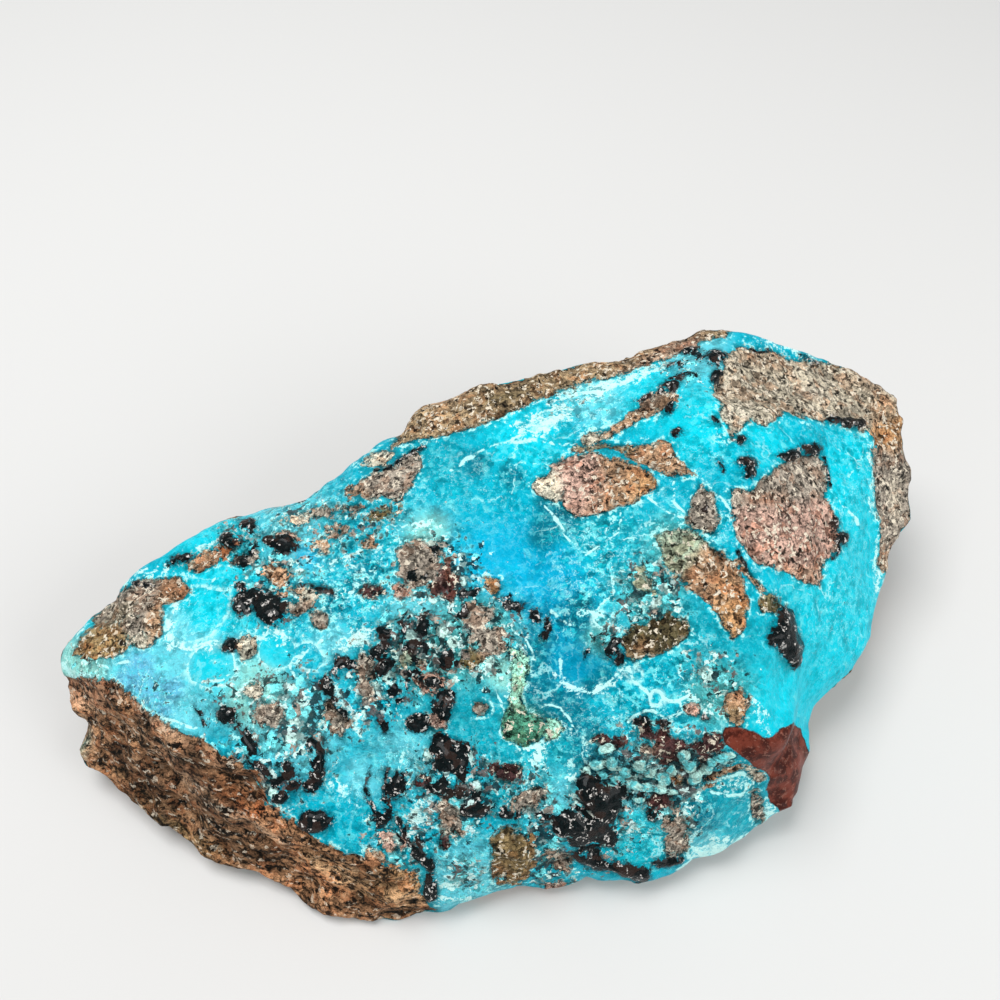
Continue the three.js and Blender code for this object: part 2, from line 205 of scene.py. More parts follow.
# The broken, layered face along the lower left.
WALL = patch([(40, 679), (117, 681), (136, 706), (169, 731), (195, 737), (241, 763), (253, 775),
              (266, 805), (299, 826), (318, 842), (348, 855), (390, 862), (409, 887), (437, 912),
              (300, 960), (40, 860)])

# Host rock, jasper and other pieces held in the crust, by picture pixels.
HOST_ROCK = [
    (WALL_BROWN, WALL),
    (WALL_TOP, patch([(50, 677), (112, 680), (128, 700), (100, 712), (62, 706)])),
    (ORANGE, oval(385, 884, 34, 18)),
    (TAN, oval(175, 740, 50, 9, 32)),
    (OLIVE, oval(180, 835, 60, 12, 28)),
    (RUST, oval(240, 800, 44, 12, 35)),
    (CREAM, streak([(78, 706), (108, 714), (134, 732), (160, 747), (184, 770), (206, 790)], 3)),
    # The dark crevice streaks and patch in this list are painted shade in the wall's grooves.
    (CREVICE_SHADE, streak([(70, 722), (100, 728), (134, 742), (158, 758), (176, 776)], 5)),
    (CREVICE_SHADE, patch([(180, 784), (192, 786), (210, 800), (214, 810), (200, 806)])),
    (CREAM, streak([(158, 756), (178, 778), (204, 800), (250, 822), (290, 846)], 3)),
    (CREVICE_SHADE, streak([(128, 792), (150, 808), (186, 826), (226, 846)], 5)),
    (GOLD, streak([(110, 770), (150, 800), (200, 822), (260, 850)], 5)),
    (CREVICE_SHADE, streak([(226, 790), (252, 806), (286, 834), (330, 858)], 4)),
    (PINKISH, streak([(140, 716), (180, 740), (220, 762), (246, 784)], 4)),
    (MINT, oval(78, 742, 7, 20)),
    # Painted shade: the lower middle of the wall is darker.
    (WALL_SHADE, patch([(110, 736), (150, 756), (190, 786), (240, 816), (290, 850), (250, 862),
                        (200, 840), (150, 806), (100, 768)])),
    (WALL_LIGHT, patch([(296, 846), (345, 862), (396, 876), (430, 900), (400, 912), (350, 896),
                        (310, 872)])),
    (HUMP_TAN, patch([(390, 448), (398, 432), (402, 400), (470, 366), (560, 360), (640, 330),
                      (676, 322), (735, 324), (726, 337), (700, 342), (672, 354), (634, 370),
                      (590, 382), (535, 402), (500, 418), (470, 430), (430, 438)])),
    (OLIVE, oval(505, 396, 34, 9, -12)),
    (PINKISH, oval(445, 395, 26, 7, -18)),
    (PINKISH, patch([(612, 372), (640, 355), (672, 336), (705, 330), (700, 345), (672, 354),
                     (640, 366)])),
    (CREAM, patch([(530, 486), (539, 475), (556, 468), (566, 484), (560, 500), (545, 500)])),
    (PINKISH, patch([(550, 463), (576, 454), (600, 454), (612, 480), (601, 511), (576, 519),
                     (563, 506), (560, 490)])),
    (TAN, patch([(596, 456), (623, 457), (645, 468), (640, 500), (601, 511), (576, 517),
                 (590, 490)])),
    (ORANGE, patch([(625, 464), (647, 468), (660, 487), (649, 494), (631, 503), (622, 490)])),
    (OLIVE, streak([(574, 447), (600, 447), (630, 452)], 6)),
    (TAN, patch([(620, 451), (668, 442), (674, 454), (694, 475), (671, 474), (649, 467)])),
    (CREAM, oval(596, 437, 12, 6, -20)),
    (TAN, patch([(588, 440), (612, 427), (639, 406), (671, 388), (676, 400), (655, 414),
                 (629, 427), (607, 440)])),
    (GREY_BROWN, oval(650, 404, 16, 7, -32)),
    (GREY_BROWN, patch([(698, 482), (712, 491), (722, 518), (714, 533), (688, 525), (690, 506)])),
    (GREY_BROWN, patch([(728, 491), (746, 491), (765, 478), (781, 465), (797, 455), (816, 454),
                        (825, 470), (829, 500), (800, 512), (760, 512), (733, 510)])),
    (PINKISH, patch([(731, 505), (780, 498), (829, 494), (833, 518), (843, 542), (824, 561),
                     (819, 588), (803, 582), (784, 572), (757, 561), (741, 542), (733, 518)])),
    (RUST, patch([(738, 494), (770, 492), (792, 502), (776, 510), (745, 506)])),
    (TAN, patch([(764, 556), (800, 564), (822, 562), (818, 588), (784, 572)])),
    (PALE_GREEN, patch([(656, 536), (690, 526), (708, 540), (700, 562), (684, 580), (668, 566)])),
    (TAN, patch([(684, 552), (706, 542), (731, 560), (741, 576), (744, 600), (722, 606), (706, 602),
                 (690, 590), (676, 580)])),
    (ORANGE, patch([(712, 572), (732, 566), (748, 602), (745, 626), (734, 638), (722, 622),
                    (710, 604)])),
    (PALE_GREEN, patch([(630, 574), (642, 566), (654, 578), (650, 592), (638, 590)])),
    (DARK_OLIVE, patch([(623, 656), (620, 638), (632, 624), (652, 616), (674, 612), (689, 622),
                   (688, 637), (671, 650), (650, 656), (634, 664)])),
    (TAN, oval(640, 650, 16, 8, -20)),
    (TAN, streak([(736, 560), (750, 576), (762, 590)], 6)),
    (OLIVE, oval(770, 602, 12, 10, 40)),
    (HOST_PALE, patch([(714, 387), (722, 366), (728, 355), (741, 345), (757, 349), (784, 357),
                       (819, 361), (848, 364), (880, 376), (905, 394), (900, 420), (867, 432),
                       (840, 423), (811, 418), (784, 414), (765, 427), (752, 422), (730, 438),
                       (722, 408)])),
    (TAN, patch([(735, 345), (760, 350), (790, 362), (786, 376), (760, 370), (738, 360)])),
    (CREAM, oval(738, 412, 18, 12)),
    (GREY_BROWN, oval(812, 392, 26, 9, 8)),
    (TAN, oval(868, 384, 30, 10, 22)),
    (ORANGE, patch([(866, 398), (884, 390), (912, 410), (912, 444), (896, 462), (878, 452),
                    (870, 436)])),
    (GREY_BROWN, patch([(874, 448), (900, 440), (924, 470), (924, 530), (890, 590), (882, 560),
                        (880, 520), (876, 480)])),
    (HOST_PALE, oval(896, 500, 9, 30)),
    (TAN, oval(890, 560, 10, 16)),
    (GREY_BROWN, patch([(91, 618), (114, 596), (146, 577), (165, 580), (160, 606), (140, 612),
                        (120, 622), (100, 628)])),
    (TAN, patch([(160, 580), (178, 577), (190, 590), (165, 606), (162, 635), (148, 642),
                 (140, 622)])),
    (GOLD, patch([(72, 656), (82, 634), (98, 624), (116, 620), (128, 632), (128, 648), (116, 656),
                  (90, 660)])),
    (RUST, oval(84, 646, 9, 6, -40)),
    (GREY_BROWN, oval(140, 612, 12, 10)),
    (OLIVE, oval(120, 612, 24, 9, -30)),
    (GREY_BROWN, oval(132, 626, 16, 12)),
    (CREAM, oval(142, 640, 12, 9)),
    (RUST, oval(172, 588, 17, 7, 10)),
    (GREY_BROWN, patch([(348, 490), (382, 470), (418, 450), (420, 470), (412, 484), (397, 501),
                        (375, 498)])),
    (CREAM, oval(378, 458, 17, 7, -18)),
    (TAN, oval(360, 490, 14, 6)),
    (GOLD_BROWN, patch([(488, 838), (510, 824), (530, 832), (536, 862), (520, 886), (490, 880)])),
    (PINKISH, patch([(545, 884), (558, 880), (577, 880), (574, 896), (548, 896)])),
    (FOAM, patch([(513, 650), (521, 646), (529, 660), (528, 682), (522, 697), (526, 706),
                  (514, 712), (508, 700), (512, 680)])),
    (MOSS, patch([(506, 712), (518, 702), (528, 712), (545, 718), (548, 730), (538, 742),
                  (520, 746), (506, 738), (503, 725)])),
    (FOAM, streak([(510, 724), (522, 712), (531, 724), (542, 731)], 3)),
    (FOAM, streak([(516, 742), (527, 729)], 3)),
    (FOAM, patch([(545, 716), (560, 718), (567, 727), (560, 738), (546, 742)])),
    (RUST, oval(498, 872, 10, 8)),
    (CREAM, patch([(744, 762), (758, 768), (768, 779), (762, 783), (750, 775)])),
    (TAN, patch([(726, 690), (742, 688), (750, 706), (744, 726), (728, 722), (722, 706)])),
    (OLIVE, oval(734, 712, 10, 10)),
    (ORANGE, oval(680, 778, 9, 7)),
    (TAN, streak([(706, 780), (722, 772), (740, 766)], 9)),
    (GREY_BROWN, oval(478, 616, 17, 12)),
    (GREY_BROWN, oval(488, 640, 18, 14)),
    (OLIVE, oval(468, 656, 10, 8)),
    (ORANGE, oval(492, 585, 9, 9)),
    (MAROON, oval(374, 591, 14, 7)),
    (PINKISH, oval(401, 592, 8, 7)),
    (GREY_BROWN, patch([(396, 548), (420, 538), (444, 552), (440, 580), (420, 590), (400, 580)])),
    (MAROON, patch([(434, 562), (450, 558), (462, 580), (450, 598), (432, 590)])),
    (RUST, oval(448, 574, 6, 11)),
    (TAN, oval(370, 541, 9, 6)),
    (GREY_BROWN, oval(320, 514, 16, 5, -18)),
    (CREAM, oval(294, 521, 14, 4, -14)),
    (GREY_BROWN, oval(352, 508, 15, 5, -16)),
    (OLIVE, oval(384, 512, 14, 5, -14)),
    (GREY_BROWN, oval(335, 533, 10, 6)),
    (CREAM, oval(321, 549, 9, 6)),
    (ORANGE, oval(322, 543, 6, 4)),
    (TAN, oval(203, 560, 20, 8, -20)),
    (RUST, oval(222, 552, 12, 6, -25)),
    (GREY_BROWN, oval(247, 556, 14, 9, -20)),
    (PINKISH, oval(285, 538, 12, 6)),
    (TAN, oval(276, 575, 12, 11)),
    (CREAM, oval(307, 594, 12, 7)),
    (GREY_BROWN, oval(298, 606, 13, 8)),
    (TAN, oval(292, 588, 9, 6)),
    (MAROON, patch([(494, 764), (522, 762), (528, 778), (506, 788), (492, 778)])),
    (GREY_BROWN, patch([(511, 806), (524, 792), (540, 788), (548, 800), (536, 814), (518, 814)])),
    (GREY_BROWN, oval(451, 822, 13, 17)),
    (MAROON, oval(444, 842, 8, 8)),
    (PINKISH, oval(390, 842, 14, 9)),
    (TAN, oval(378, 856, 11, 8)),
    (MAROON, oval(420, 780, 6, 8)),
    (GREY_BROWN, oval(366, 665, 11, 14)),
    (GREY_BROWN, oval(364, 690, 8, 9)),
    (PINKISH, oval(431, 680, 12, 13)),
    (PALE_GREEN, oval(407, 656, 9, 8)),
    (PINKISH, oval(436, 722, 9, 10)),
    (GREY_BROWN, patch([(325, 704), (336, 698), (350, 722), (344, 740), (330, 732)])),
    (GREY_BROWN, oval(270, 718, 13, 12)),
    (CREAM, oval(255, 690, 9, 10)),
    (CREAM, oval(246, 648, 9, 12)),
    (GREY_BROWN, oval(322, 622, 10, 9)),
    (MAROON, patch([(635, 724), (648, 721), (656, 730), (670, 726), (672, 742), (654, 746),
                    (638, 740)])),
    (MAROON, patch([(652, 744), (670, 735), (688, 742), (684, 762), (668, 768), (654, 760)])),
    (MAROON, oval(607, 741, 15, 7)),
    (MAROON, patch([(690, 748), (704, 734), (722, 736), (724, 756), (704, 762)])),
    (MAROON, streak([(700, 758), (703, 778)], 6)),
    (GREY_BROWN, oval(648, 748, 9, 6)),
    (GREY_BROWN, oval(676, 832, 13, 26)),
    (MAROON, oval(664, 800, 14, 10)),
    (GREY_BROWN, oval(758, 806, 6, 18, -15)),
    (PINKISH, oval(692, 710, 8, 8)),
    (GREY_BROWN, oval(481, 707, 9, 8)),
    (GREY_BROWN, oval(560, 860, 16, 8)),
]

JASPER = [
    patch([(722, 728), (738, 727), (756, 731), (766, 739), (774, 736), (782, 727), (793, 722),
           (802, 731), (808, 749), (812, 764), (806, 780), (800, 796), (795, 810), (784, 818),
           (775, 807), (769, 802), (767, 790), (771, 780), (760, 768), (746, 760), (736, 751),
           (724, 741)]),
]

# Small pale pebbles set in rows, with dark joints.
PEBBLES = [
    oval(598, 764, 7, 5), oval(613, 764, 6, 6), oval(626, 771, 6, 6), oval(640, 765, 6, 5),
    oval(651, 772, 6, 5), oval(603, 775, 6, 5), oval(618, 780, 6, 5), oval(634, 783, 6, 5),
    oval(646, 786, 6, 5), oval(659, 788, 6, 5), oval(663, 778, 6, 5), oval(672, 771, 5, 5),
    oval(605, 750, 9, 5), oval(684, 756, 6, 6), oval(690, 765, 6, 6), oval(695, 777, 8, 6, -40),
    oval(706, 771, 6, 5), oval(711, 763, 5, 5), oval(722, 759, 6, 5), oval(731, 755, 5, 4),
    oval(588, 770, 5, 5), oval(610, 789, 6, 5), oval(671, 790, 5, 4), oval(638, 800, 6, 4),
]

BLACK_OXIDE = [
    oval(242, 604, 11), oval(243, 589, 6), oval(272, 608, 18, 16, 25), oval(258, 598, 10),
    oval(231, 645, 9), oval(227, 714, 10), streak([(196, 706), (204, 716), (206, 724)], 4),
    streak([(240, 727), (247, 742), (254, 756), (262, 768), (272, 777)], 11),
    oval(289, 772, 10, 11), streak([(312, 741), (320, 752), (319, 770), (310, 784)], 15),
    oval(296, 782, 9), oval(279, 795, 9), oval(315, 822, 16, 13), oval(248, 526, 8, 6),
    oval(230, 539, 9, 7), oval(244, 560, 7, 6), oval(255, 549, 6, 5), oval(285, 544, 13, 8),
    oval(268, 540, 7, 5), streak([(300, 583), (318, 590), (330, 592)], 7),
    patch([(334, 650), (350, 658), (341, 678), (333, 670)]), oval(328, 690, 6, 12, -15),
    streak([(325, 680), (336, 700), (345, 716)], 6),
    oval(408, 624, 9), oval(425, 627, 10), oval(386, 632, 12, 6), oval(415, 649, 12, 9),
    oval(448, 659, 10, 12), oval(384, 668, 11, 10), oval(398, 690, 9, 8), oval(409, 672, 10, 8),
    oval(432, 682, 11, 8), oval(446, 697, 9), oval(440, 709, 8, 10), oval(419, 722, 12, 11),
    patch([(374, 722), (388, 710), (395, 730), (384, 732)]), oval(378, 650, 9, 8),
    oval(440, 745, 12), oval(452, 760, 19, 17), oval(465, 748, 8), oval(442, 783, 16, 9),
    oval(473, 807, 18, 9), oval(508, 812, 12, 7), oval(462, 792, 14, 8),
    streak([(371, 766), (369, 788), (375, 806), (378, 824)], 4),
    streak([(386, 770), (388, 790), (386, 816)], 4), oval(398, 784, 9, 15), oval(382, 818, 9, 7),
    streak([(398, 822), (410, 842), (424, 856), (432, 868)], 9), oval(431, 888, 8, 12),
    oval(590, 790, 13, 12), oval(606, 804, 14, 14), oval(618, 790, 8, 9), oval(596, 824, 14, 14),
    oval(572, 818, 16, 11), oval(583, 836, 16, 9), oval(560, 828, 8, 8), oval(607, 838, 8, 10),
    streak([(582, 856), (600, 862), (622, 868), (642, 874)], 15), oval(545, 818, 8, 5),
    streak([(656, 862), (680, 860)], 8), oval(640, 793, 9, 6), oval(655, 812, 6, 8),
    patch([(578, 776), (590, 769), (604, 784), (618, 790), (622, 806), (616, 822), (600, 830),
           (590, 820), (584, 806), (574, 796)]),
    patch([(552, 812), (572, 806), (590, 822), (612, 830), (618, 846), (600, 846), (580, 842),
           (560, 830)]),
    streak([(586, 660), (588, 650)], 3), streak([(512, 607), (524, 606)], 7),
    oval(535, 617, 5, 6), oval(543, 636, 4, 6),
    patch([(781, 604), (792, 609), (797, 628), (803, 647), (797, 667), (784, 660), (779, 648),
           (768, 645), (765, 636), (776, 628)]), oval(713, 358, 16, 5, -10), oval(716, 378, 6, 7, 30),
    oval(673, 364, 15, 3, -10), streak([(662, 392), (668, 380), (692, 376)], 6),
    oval(672, 386, 8, 5), oval(646, 398, 9, 3, -15), oval(667, 408, 5, 10, 35), oval(690, 349, 9, 4),
    streak([(713, 418), (717, 428)], 5), oval(740, 440, 7, 3, 15), oval(746, 464, 10, 6),
    oval(749, 470, 6, 6), streak([(716, 459), (722, 472)], 4), oval(678, 434, 5, 5),
    oval(855, 422, 14, 6, 12),
    oval(838, 420, 10, 4), oval(788, 456, 11, 5), oval(809, 449, 12, 6),
    streak([(823, 458), (829, 484)], 4), oval(835, 524, 5, 8), oval(842, 540, 7, 7),
    streak([(831, 558), (838, 548)], 4), streak([(736, 548), (744, 566)], 4),
    oval(707, 509, 4, 5), oval(602, 637, 7, 5), oval(608, 650, 6, 8, 30),
    oval(618, 659, 7, 6), oval(616, 641, 5, 4),
    streak([(134, 585), (152, 584)], 5), oval(182, 558, 14, 4, -18), oval(346, 664, 8, 10),
    streak([(378, 471), (402, 460), (426, 448)], 4), oval(437, 548, 8, 5), oval(416, 574, 9, 6),
    oval(470, 592, 8, 5), oval(516, 606, 9, 6), oval(505, 597, 6, 4), oval(548, 626, 5, 7),
    oval(462, 610, 6, 5), oval(706, 716, 6, 4), oval(642, 722, 7, 5), oval(664, 724, 6, 4),
    streak([(744, 348), (770, 352)], 3), streak([(800, 356), (822, 364)], 3),
]

PALE_SILICA = [
    patch([(332, 648), (344, 636), (360, 628), (378, 632), (372, 642), (352, 650)]),
    oval(418, 814, 9, 18, 20), oval(453, 880, 12, 8), streak([(440, 899), (470, 899)], 5),
    patch([(512, 432), (530, 417), (552, 406), (572, 404), (574, 416), (552, 430), (530, 438)]),
    oval(602, 390, 20, 6, -24), oval(636, 374, 22, 4, -22), streak([(400, 448), (450, 433)], 3),
    streak([(450, 433), (512, 415)], 3), oval(520, 660, 6, 13), oval(512, 690, 5, 10),
    oval(554, 721, 12, 4, 20), streak([(512, 744), (536, 749), (552, 736)], 4),
    streak([(333, 682), (344, 704), (358, 730)], 5), oval(427, 528, 8, 4),
    streak([(396, 600), (430, 592), (462, 600)], 5), oval(430, 583, 9, 4), oval(228, 714, 4, 5),
    streak([(340, 506), (372, 514), (400, 520)], 3), streak([(320, 566), (350, 556), (380, 548)], 3),
    streak([(170, 640), (190, 646), (214, 646)], 4), streak([(176, 600), (168, 622), (172, 650)], 4),
    oval(300, 740, 14, 9), oval(292, 690, 12, 7), oval(258, 704, 9, 6), oval(352, 590, 14, 3, -20),
    streak([(66, 640), (84, 620), (92, 612)], 5), streak([(66, 664), (78, 678)], 7),
    streak([(98, 607), (132, 577), (167, 567)], 3), streak([(174, 563), (205, 546), (234, 530)], 3),
    streak([(872, 432), (876, 480), (880, 545), (878, 590)], 4), oval(905, 475, 5, 9),
    streak([(330, 780), (344, 790), (352, 806)], 4), oval(270, 636, 14, 5),
    streak([(684, 790), (688, 820), (684, 856)], 4),
    oval(634, 786, 8, 6), oval(650, 770, 6, 5), oval(536, 760, 7, 9), oval(575, 780, 8, 5),
    oval(476, 668, 9, 7), oval(450, 640, 7, 5), streak([(747, 766), (764, 779)], 5),
    oval(712, 848, 17, 9, -20), streak([(716, 786), (732, 790), (748, 784)], 4),
    streak([(752, 704), (762, 716), (766, 732)], 4), oval(770, 812, 6, 9),
    streak([(560, 676), (574, 692), (594, 693), (608, 683), (624, 672)], 3),
    streak([(270, 800), (284, 812), (304, 806)], 4), oval(382, 680, 4, 8), oval(700, 705, 14, 4, 30),
    streak([(760, 342), (790, 350), (812, 358)], 4), oval(560, 395, 26, 3, -20),
]

# White lines in the crust, each a path and a width.
VEINS = [
    ([(560, 660), (562, 680), (578, 691), (593, 693), (606, 685), (616, 673), (629, 668)], 3.2),
    ([(629, 670), (634, 682), (644, 690), (651, 698)], 3.0),
    ([(662, 695), (667, 703), (677, 703), (687, 699), (693, 695)], 3.0),
    ([(629, 723), (636, 716), (646, 710), (654, 710), (662, 716), (667, 723), (674, 723),
      (680, 713), (682, 703)], 3.0),
    ([(544, 704), (560, 707), (572, 720), (579, 734)], 2.6),
    ([(552, 611), (562, 621), (570, 625)], 2.6), ([(588, 611), (598, 616)], 2.4),
    ([(606, 626), (608, 634)], 2.4), ([(613, 575), (613, 593), (603, 603), (593, 613)], 2.6),
    ([(677, 790), (695, 792), (708, 784), (725, 777), (741, 774), (753, 779), (753, 790)], 3.6),
    ([(710, 790), (725, 797), (743, 795), (751, 787)], 2.8),
    ([(687, 812), (695, 830), (687, 848), (690, 863), (677, 869)], 4.4),
    ([(695, 848), (705, 857), (725, 853), (741, 839), (761, 828), (776, 820)], 5.0),
    ([(722, 736), (727, 751), (736, 756)], 2.6), ([(583, 790), (593, 800), (603, 805), (613, 812)], 2.4),
    ([(509, 744), (524, 749), (542, 742), (557, 737)], 3.4), ([(498, 690), (504, 712), (500, 736)], 3.0),
    ([(835, 497), (859, 524)], 2.2), ([(676, 482), (672, 500), (690, 516)], 2.4),
    ([(649, 497), (668, 512), (688, 520)], 2.4), ([(543, 506), (560, 526), (570, 540)], 2.4),
    ([(620, 510), (618, 530), (600, 544), (584, 556)], 2.4), ([(706, 486), (724, 500), (734, 520)], 2.6),
    ([(500, 444), (532, 440), (580, 446)], 2.4), ([(534, 660), (524, 640), (512, 628)], 2.4),
    ([(192, 646), (214, 641), (232, 650), (236, 668), (222, 680), (204, 682)], 3.0),
    ([(331, 690), (342, 706), (352, 726), (362, 738)], 3.6), ([(300, 650), (290, 668), (300, 680)], 3.0),
    ([(322, 640), (308, 652), (298, 664)], 2.6), ([(160, 600), (166, 628), (176, 648)], 3.0),
    ([(120, 690), (134, 700), (160, 716), (196, 728)], 3.0), ([(62, 664), (72, 676), (92, 676)], 5.0),
    ([(96, 664), (112, 668), (130, 660)], 3.0), ([(218, 578), (206, 590), (196, 602)], 2.4),
    ([(560, 398), (600, 392), (636, 378), (668, 366)], 4.0), ([(450, 470), (480, 452), (520, 436)], 2.4),
    ([(330, 560), (352, 552), (384, 546), (400, 536)], 2.6), ([(380, 520), (404, 528), (430, 520)], 2.6),
    ([(649, 697), (653, 692), (660, 693), (663, 700), (659, 706), (652, 705), (649, 697)], 3.0),
    ([(594, 621), (599, 614), (607, 617), (608, 625), (600, 628), (594, 621)], 2.8),
    ([(320, 570), (350, 566), (376, 572)], 2.4), ([(404, 752), (398, 776), (406, 800)], 3.0),
    ([(560, 780), (542, 800), (534, 818)], 3.0),
]

# Crust with a white line round it.
RIMMED = [
    oval(212, 667, 24, 21), oval(308, 657, 14, 13), oval(634, 675, 5, 5), oval(657, 700, 6, 6),
    oval(602, 621, 6, 6), oval(276, 650, 17, 16),
    patch([(176, 596), (200, 588), (230, 592), (226, 616), (206, 636), (182, 640), (168, 622)]),
]

# Smooth pools in the crust: place, radius and share.
CALM_POOLS = [
    (583, 664, 27, 1.0), (502, 548, 38, 0.8), (540, 578, 30, 0.7), (211, 666, 21, 0.9),
    (209, 614, 24, 0.4), (276, 650, 15, 0.8), (308, 657, 12, 0.8), (560, 705, 16, 0.6),
    (724, 818, 34, 0.5), (850, 600, 50, 0.25), (800, 690, 40, 0.2), (352, 812, 18, 0.5),
]

# Tints of the crust, each a colour, a place and a radius in pixels.
CRUST_TINTS = [
    (SEA, 470, 490, 60), (AZURE, 498, 548, 34), (AZURE, 545, 580, 26), (DEEP_BLUE, 581, 664, 24),
    (DEEP_BLUE, 556, 612, 26), (DEEP_TEAL, 578, 614, 11), (DEEP_TEAL, 536, 690, 16),
    (DEEP_TEAL, 564, 704, 16), (DEEP_TEAL, 582, 740, 16), (DEEP_TEAL, 592, 768, 18),
    (DEEP_TEAL, 556, 512, 13), (SEA, 492, 496, 24),
    (TURQUOISE, 600, 526, 24), (DEEP_TEAL, 560, 520, 8), (DEEP_TEAL, 476, 466, 9),
    (DEEP_TEAL, 512, 476, 8), (DEEP_TEAL, 542, 536, 9), (DEEP_TEAL, 580, 606, 8),
    (DEEP_TEAL, 531, 652, 15), (SEA, 640, 560, 44), (SEA, 630, 690, 40),
    (TURQUOISE, 690, 640, 30), (GREY_TEAL, 668, 545, 18), (GREY_TEAL, 720, 690, 22),
    (CYAN, 209, 614, 26), (CYAN, 211, 666, 18),
    (ICE, 152, 682, 30), (ICE, 178, 706, 20), (ICE, 190, 640, 8), (ICE, 212, 641, 7),
    (ICE, 238, 648, 8), (ICE, 176, 624, 8), (ICE, 180, 660, 8), (ICE, 330, 640, 12),
    (CYAN, 276, 650, 12), (SEA, 308, 658, 8), (DEEP_TEAL, 604, 676, 6),
    (DEEP_TEAL, 590, 686, 6), (DEEP_BLUE, 560, 655, 10),
    (LAVENDER, 140, 668, 9), (LAVENDER, 152, 690, 10), (LAVENDER, 172, 690, 8),
    (LAVENDER, 162, 706, 9), (LAVENDER, 128, 684, 8),
    (CYAN, 845, 610, 50), (CYAN, 850, 450, 44), (SEA, 810, 430, 28), (CYAN, 790, 690, 40),
    (TURQUOISE, 735, 640, 22), (TURQUOISE, 724, 815, 40), (SEA, 352, 812, 26),
    (TURQUOISE, 409, 865, 14), (SEA, 345, 590, 34), (DEEP_TEAL, 332, 604, 8),
    (DEEP_TEAL, 362, 575, 8), (SEA, 300, 655, 22), (TURQUOISE, 631, 833, 16),
    (TURQUOISE, 772, 815, 12), (CYAN, 640, 385, 26), (ICE, 600, 392, 18), (CYAN, 700, 420, 26),
    (SEA, 740, 470, 24), (LEAF, 524, 722, 12), (TURQUOISE, 560, 762, 16),
    (MINT, 427, 528, 14), (MINT, 504, 672, 10), (ICE, 300, 535, 26), (CYAN, 215, 548, 30),
    (MINT, 260, 690, 24),
    (ICE, 300, 730, 26), (GREY_TEAL, 440, 640, 34), (ICE, 400, 760, 18), (TURQUOISE, 470, 720, 26),
    (ICE, 640, 785, 24), (ICE, 560, 790, 20), (GREY_TEAL, 480, 640, 30), (TURQUOISE, 440, 470, 24),
    (CYAN, 520, 440, 26), (ICE, 470, 880, 22), (ICE, 690, 350, 20), (CYAN, 760, 440, 26),
    (MINT, 80, 668, 16), (CYAN, 104, 612, 12), (SEA, 340, 540, 22), (ICE, 420, 600, 20),
    (CYAN, 845, 520, 30), (GREY_TEAL, 600, 640, 12), (SEA, 420, 505, 20), (AZURE, 310, 553, 9),
    (TURQUOISE, 390, 770, 18), (DEEP_TEAL, 300, 600, 9), (TURQUOISE, 500, 790, 16),
    (GREY_TEAL, 650, 590, 22), (CYAN, 635, 832, 20), (ICE, 712, 850, 14), (ICE, 770, 814, 9),
    (DEEP_TEAL, 700, 815, 14), (TURQUOISE, 540, 770, 22), (ICE, 365, 780, 12),
]

# Where the crust is broken up small, and where white lace runs through it: place, radius, share.
BROKEN_ZONES = [
    (480, 640, 44, 1.0), (275, 585, 46, 0.7), (300, 720, 60, 0.7), (420, 650, 60, 0.8),
    (455, 790, 50, 0.9), (590, 825, 46, 0.8), (466, 872, 24, 0.7), (640, 770, 50, 0.7), (535, 850, 44, 0.8),
    (400, 840, 40, 0.7), (440, 575, 44, 0.9), (350, 530, 44, 0.5), (260, 770, 50, 0.8),
    (680, 820, 24, 0.8), (635, 830, 26, 0.45), (375, 690, 40, 0.8), (530, 800, 36, 0.7),
    (230, 700, 36, 0.5), (700, 760, 34, 0.7), (610, 640, 22, 0.5), (690, 370, 34, 0.4),
    (650, 592, 40, 0.8), (710, 670, 28, 0.6), (300, 520, 40, 0.5), (270, 700, 34, 0.8),
    (380, 520, 30, 0.5), (670, 780, 40, 0.9), (240, 545, 30, 0.6), (90, 660, 24, 0.5),
    (150, 700, 40, 0.35), (730, 690, 26, 0.6), (560, 395, 34, 0.4),
]
LACE_ZONES = [
    (468, 876, 32, 1.0), (350, 810, 34, 0.6), (410, 765, 34, 0.6), (205, 630, 50, 0.5), (150, 690, 40, 0.6),
    (800, 500, 90, 0.35), (635, 832, 30, 0.9), (540, 770, 40, 0.5),
    (600, 600, 70, 1.0), (650, 690, 60, 1.0), (690, 540, 40, 0.9), (560, 690, 50, 0.4),
    (520, 480, 60, 0.45), (600, 540, 60, 0.7), (430, 480, 44, 0.4), (350, 590, 50, 0.8),
    (330, 640, 40, 0.5), (830, 600, 60, 0.45), (850, 470, 50, 0.4), (720, 810, 40, 0.5),
    (560, 760, 50, 0.6), (390, 560, 50, 0.9), (250, 520, 40, 0.6), (640, 790, 50, 0.8),
    (720, 440, 40, 0.5), (590, 400, 50, 0.6), (300, 510, 40, 0.6),
]


# Repeatable noise on whole arrays, in millimetres.

def cell_value(cell, salt):
    """Scatters lattice cells to values in 0 to 1, by multiplying and folding 32 bit integers."""
    c = cell.astype(np.int64).astype(np.uint32)
    h = c[..., 0] * np.uint32(374761393) ^ c[..., 1] * np.uint32(668265263)
    h = h ^ c[..., 2] * np.uint32(2147483647) ^ np.uint32((salt * 974634777) % 4294967296)
    h = (h ^ (h >> np.uint32(13))) * np.uint32(1274126177)
    h = (h ^ (h >> np.uint32(15))) * np.uint32(2246822519)
    return (h ^ (h >> np.uint32(16))) / 4294967296.0


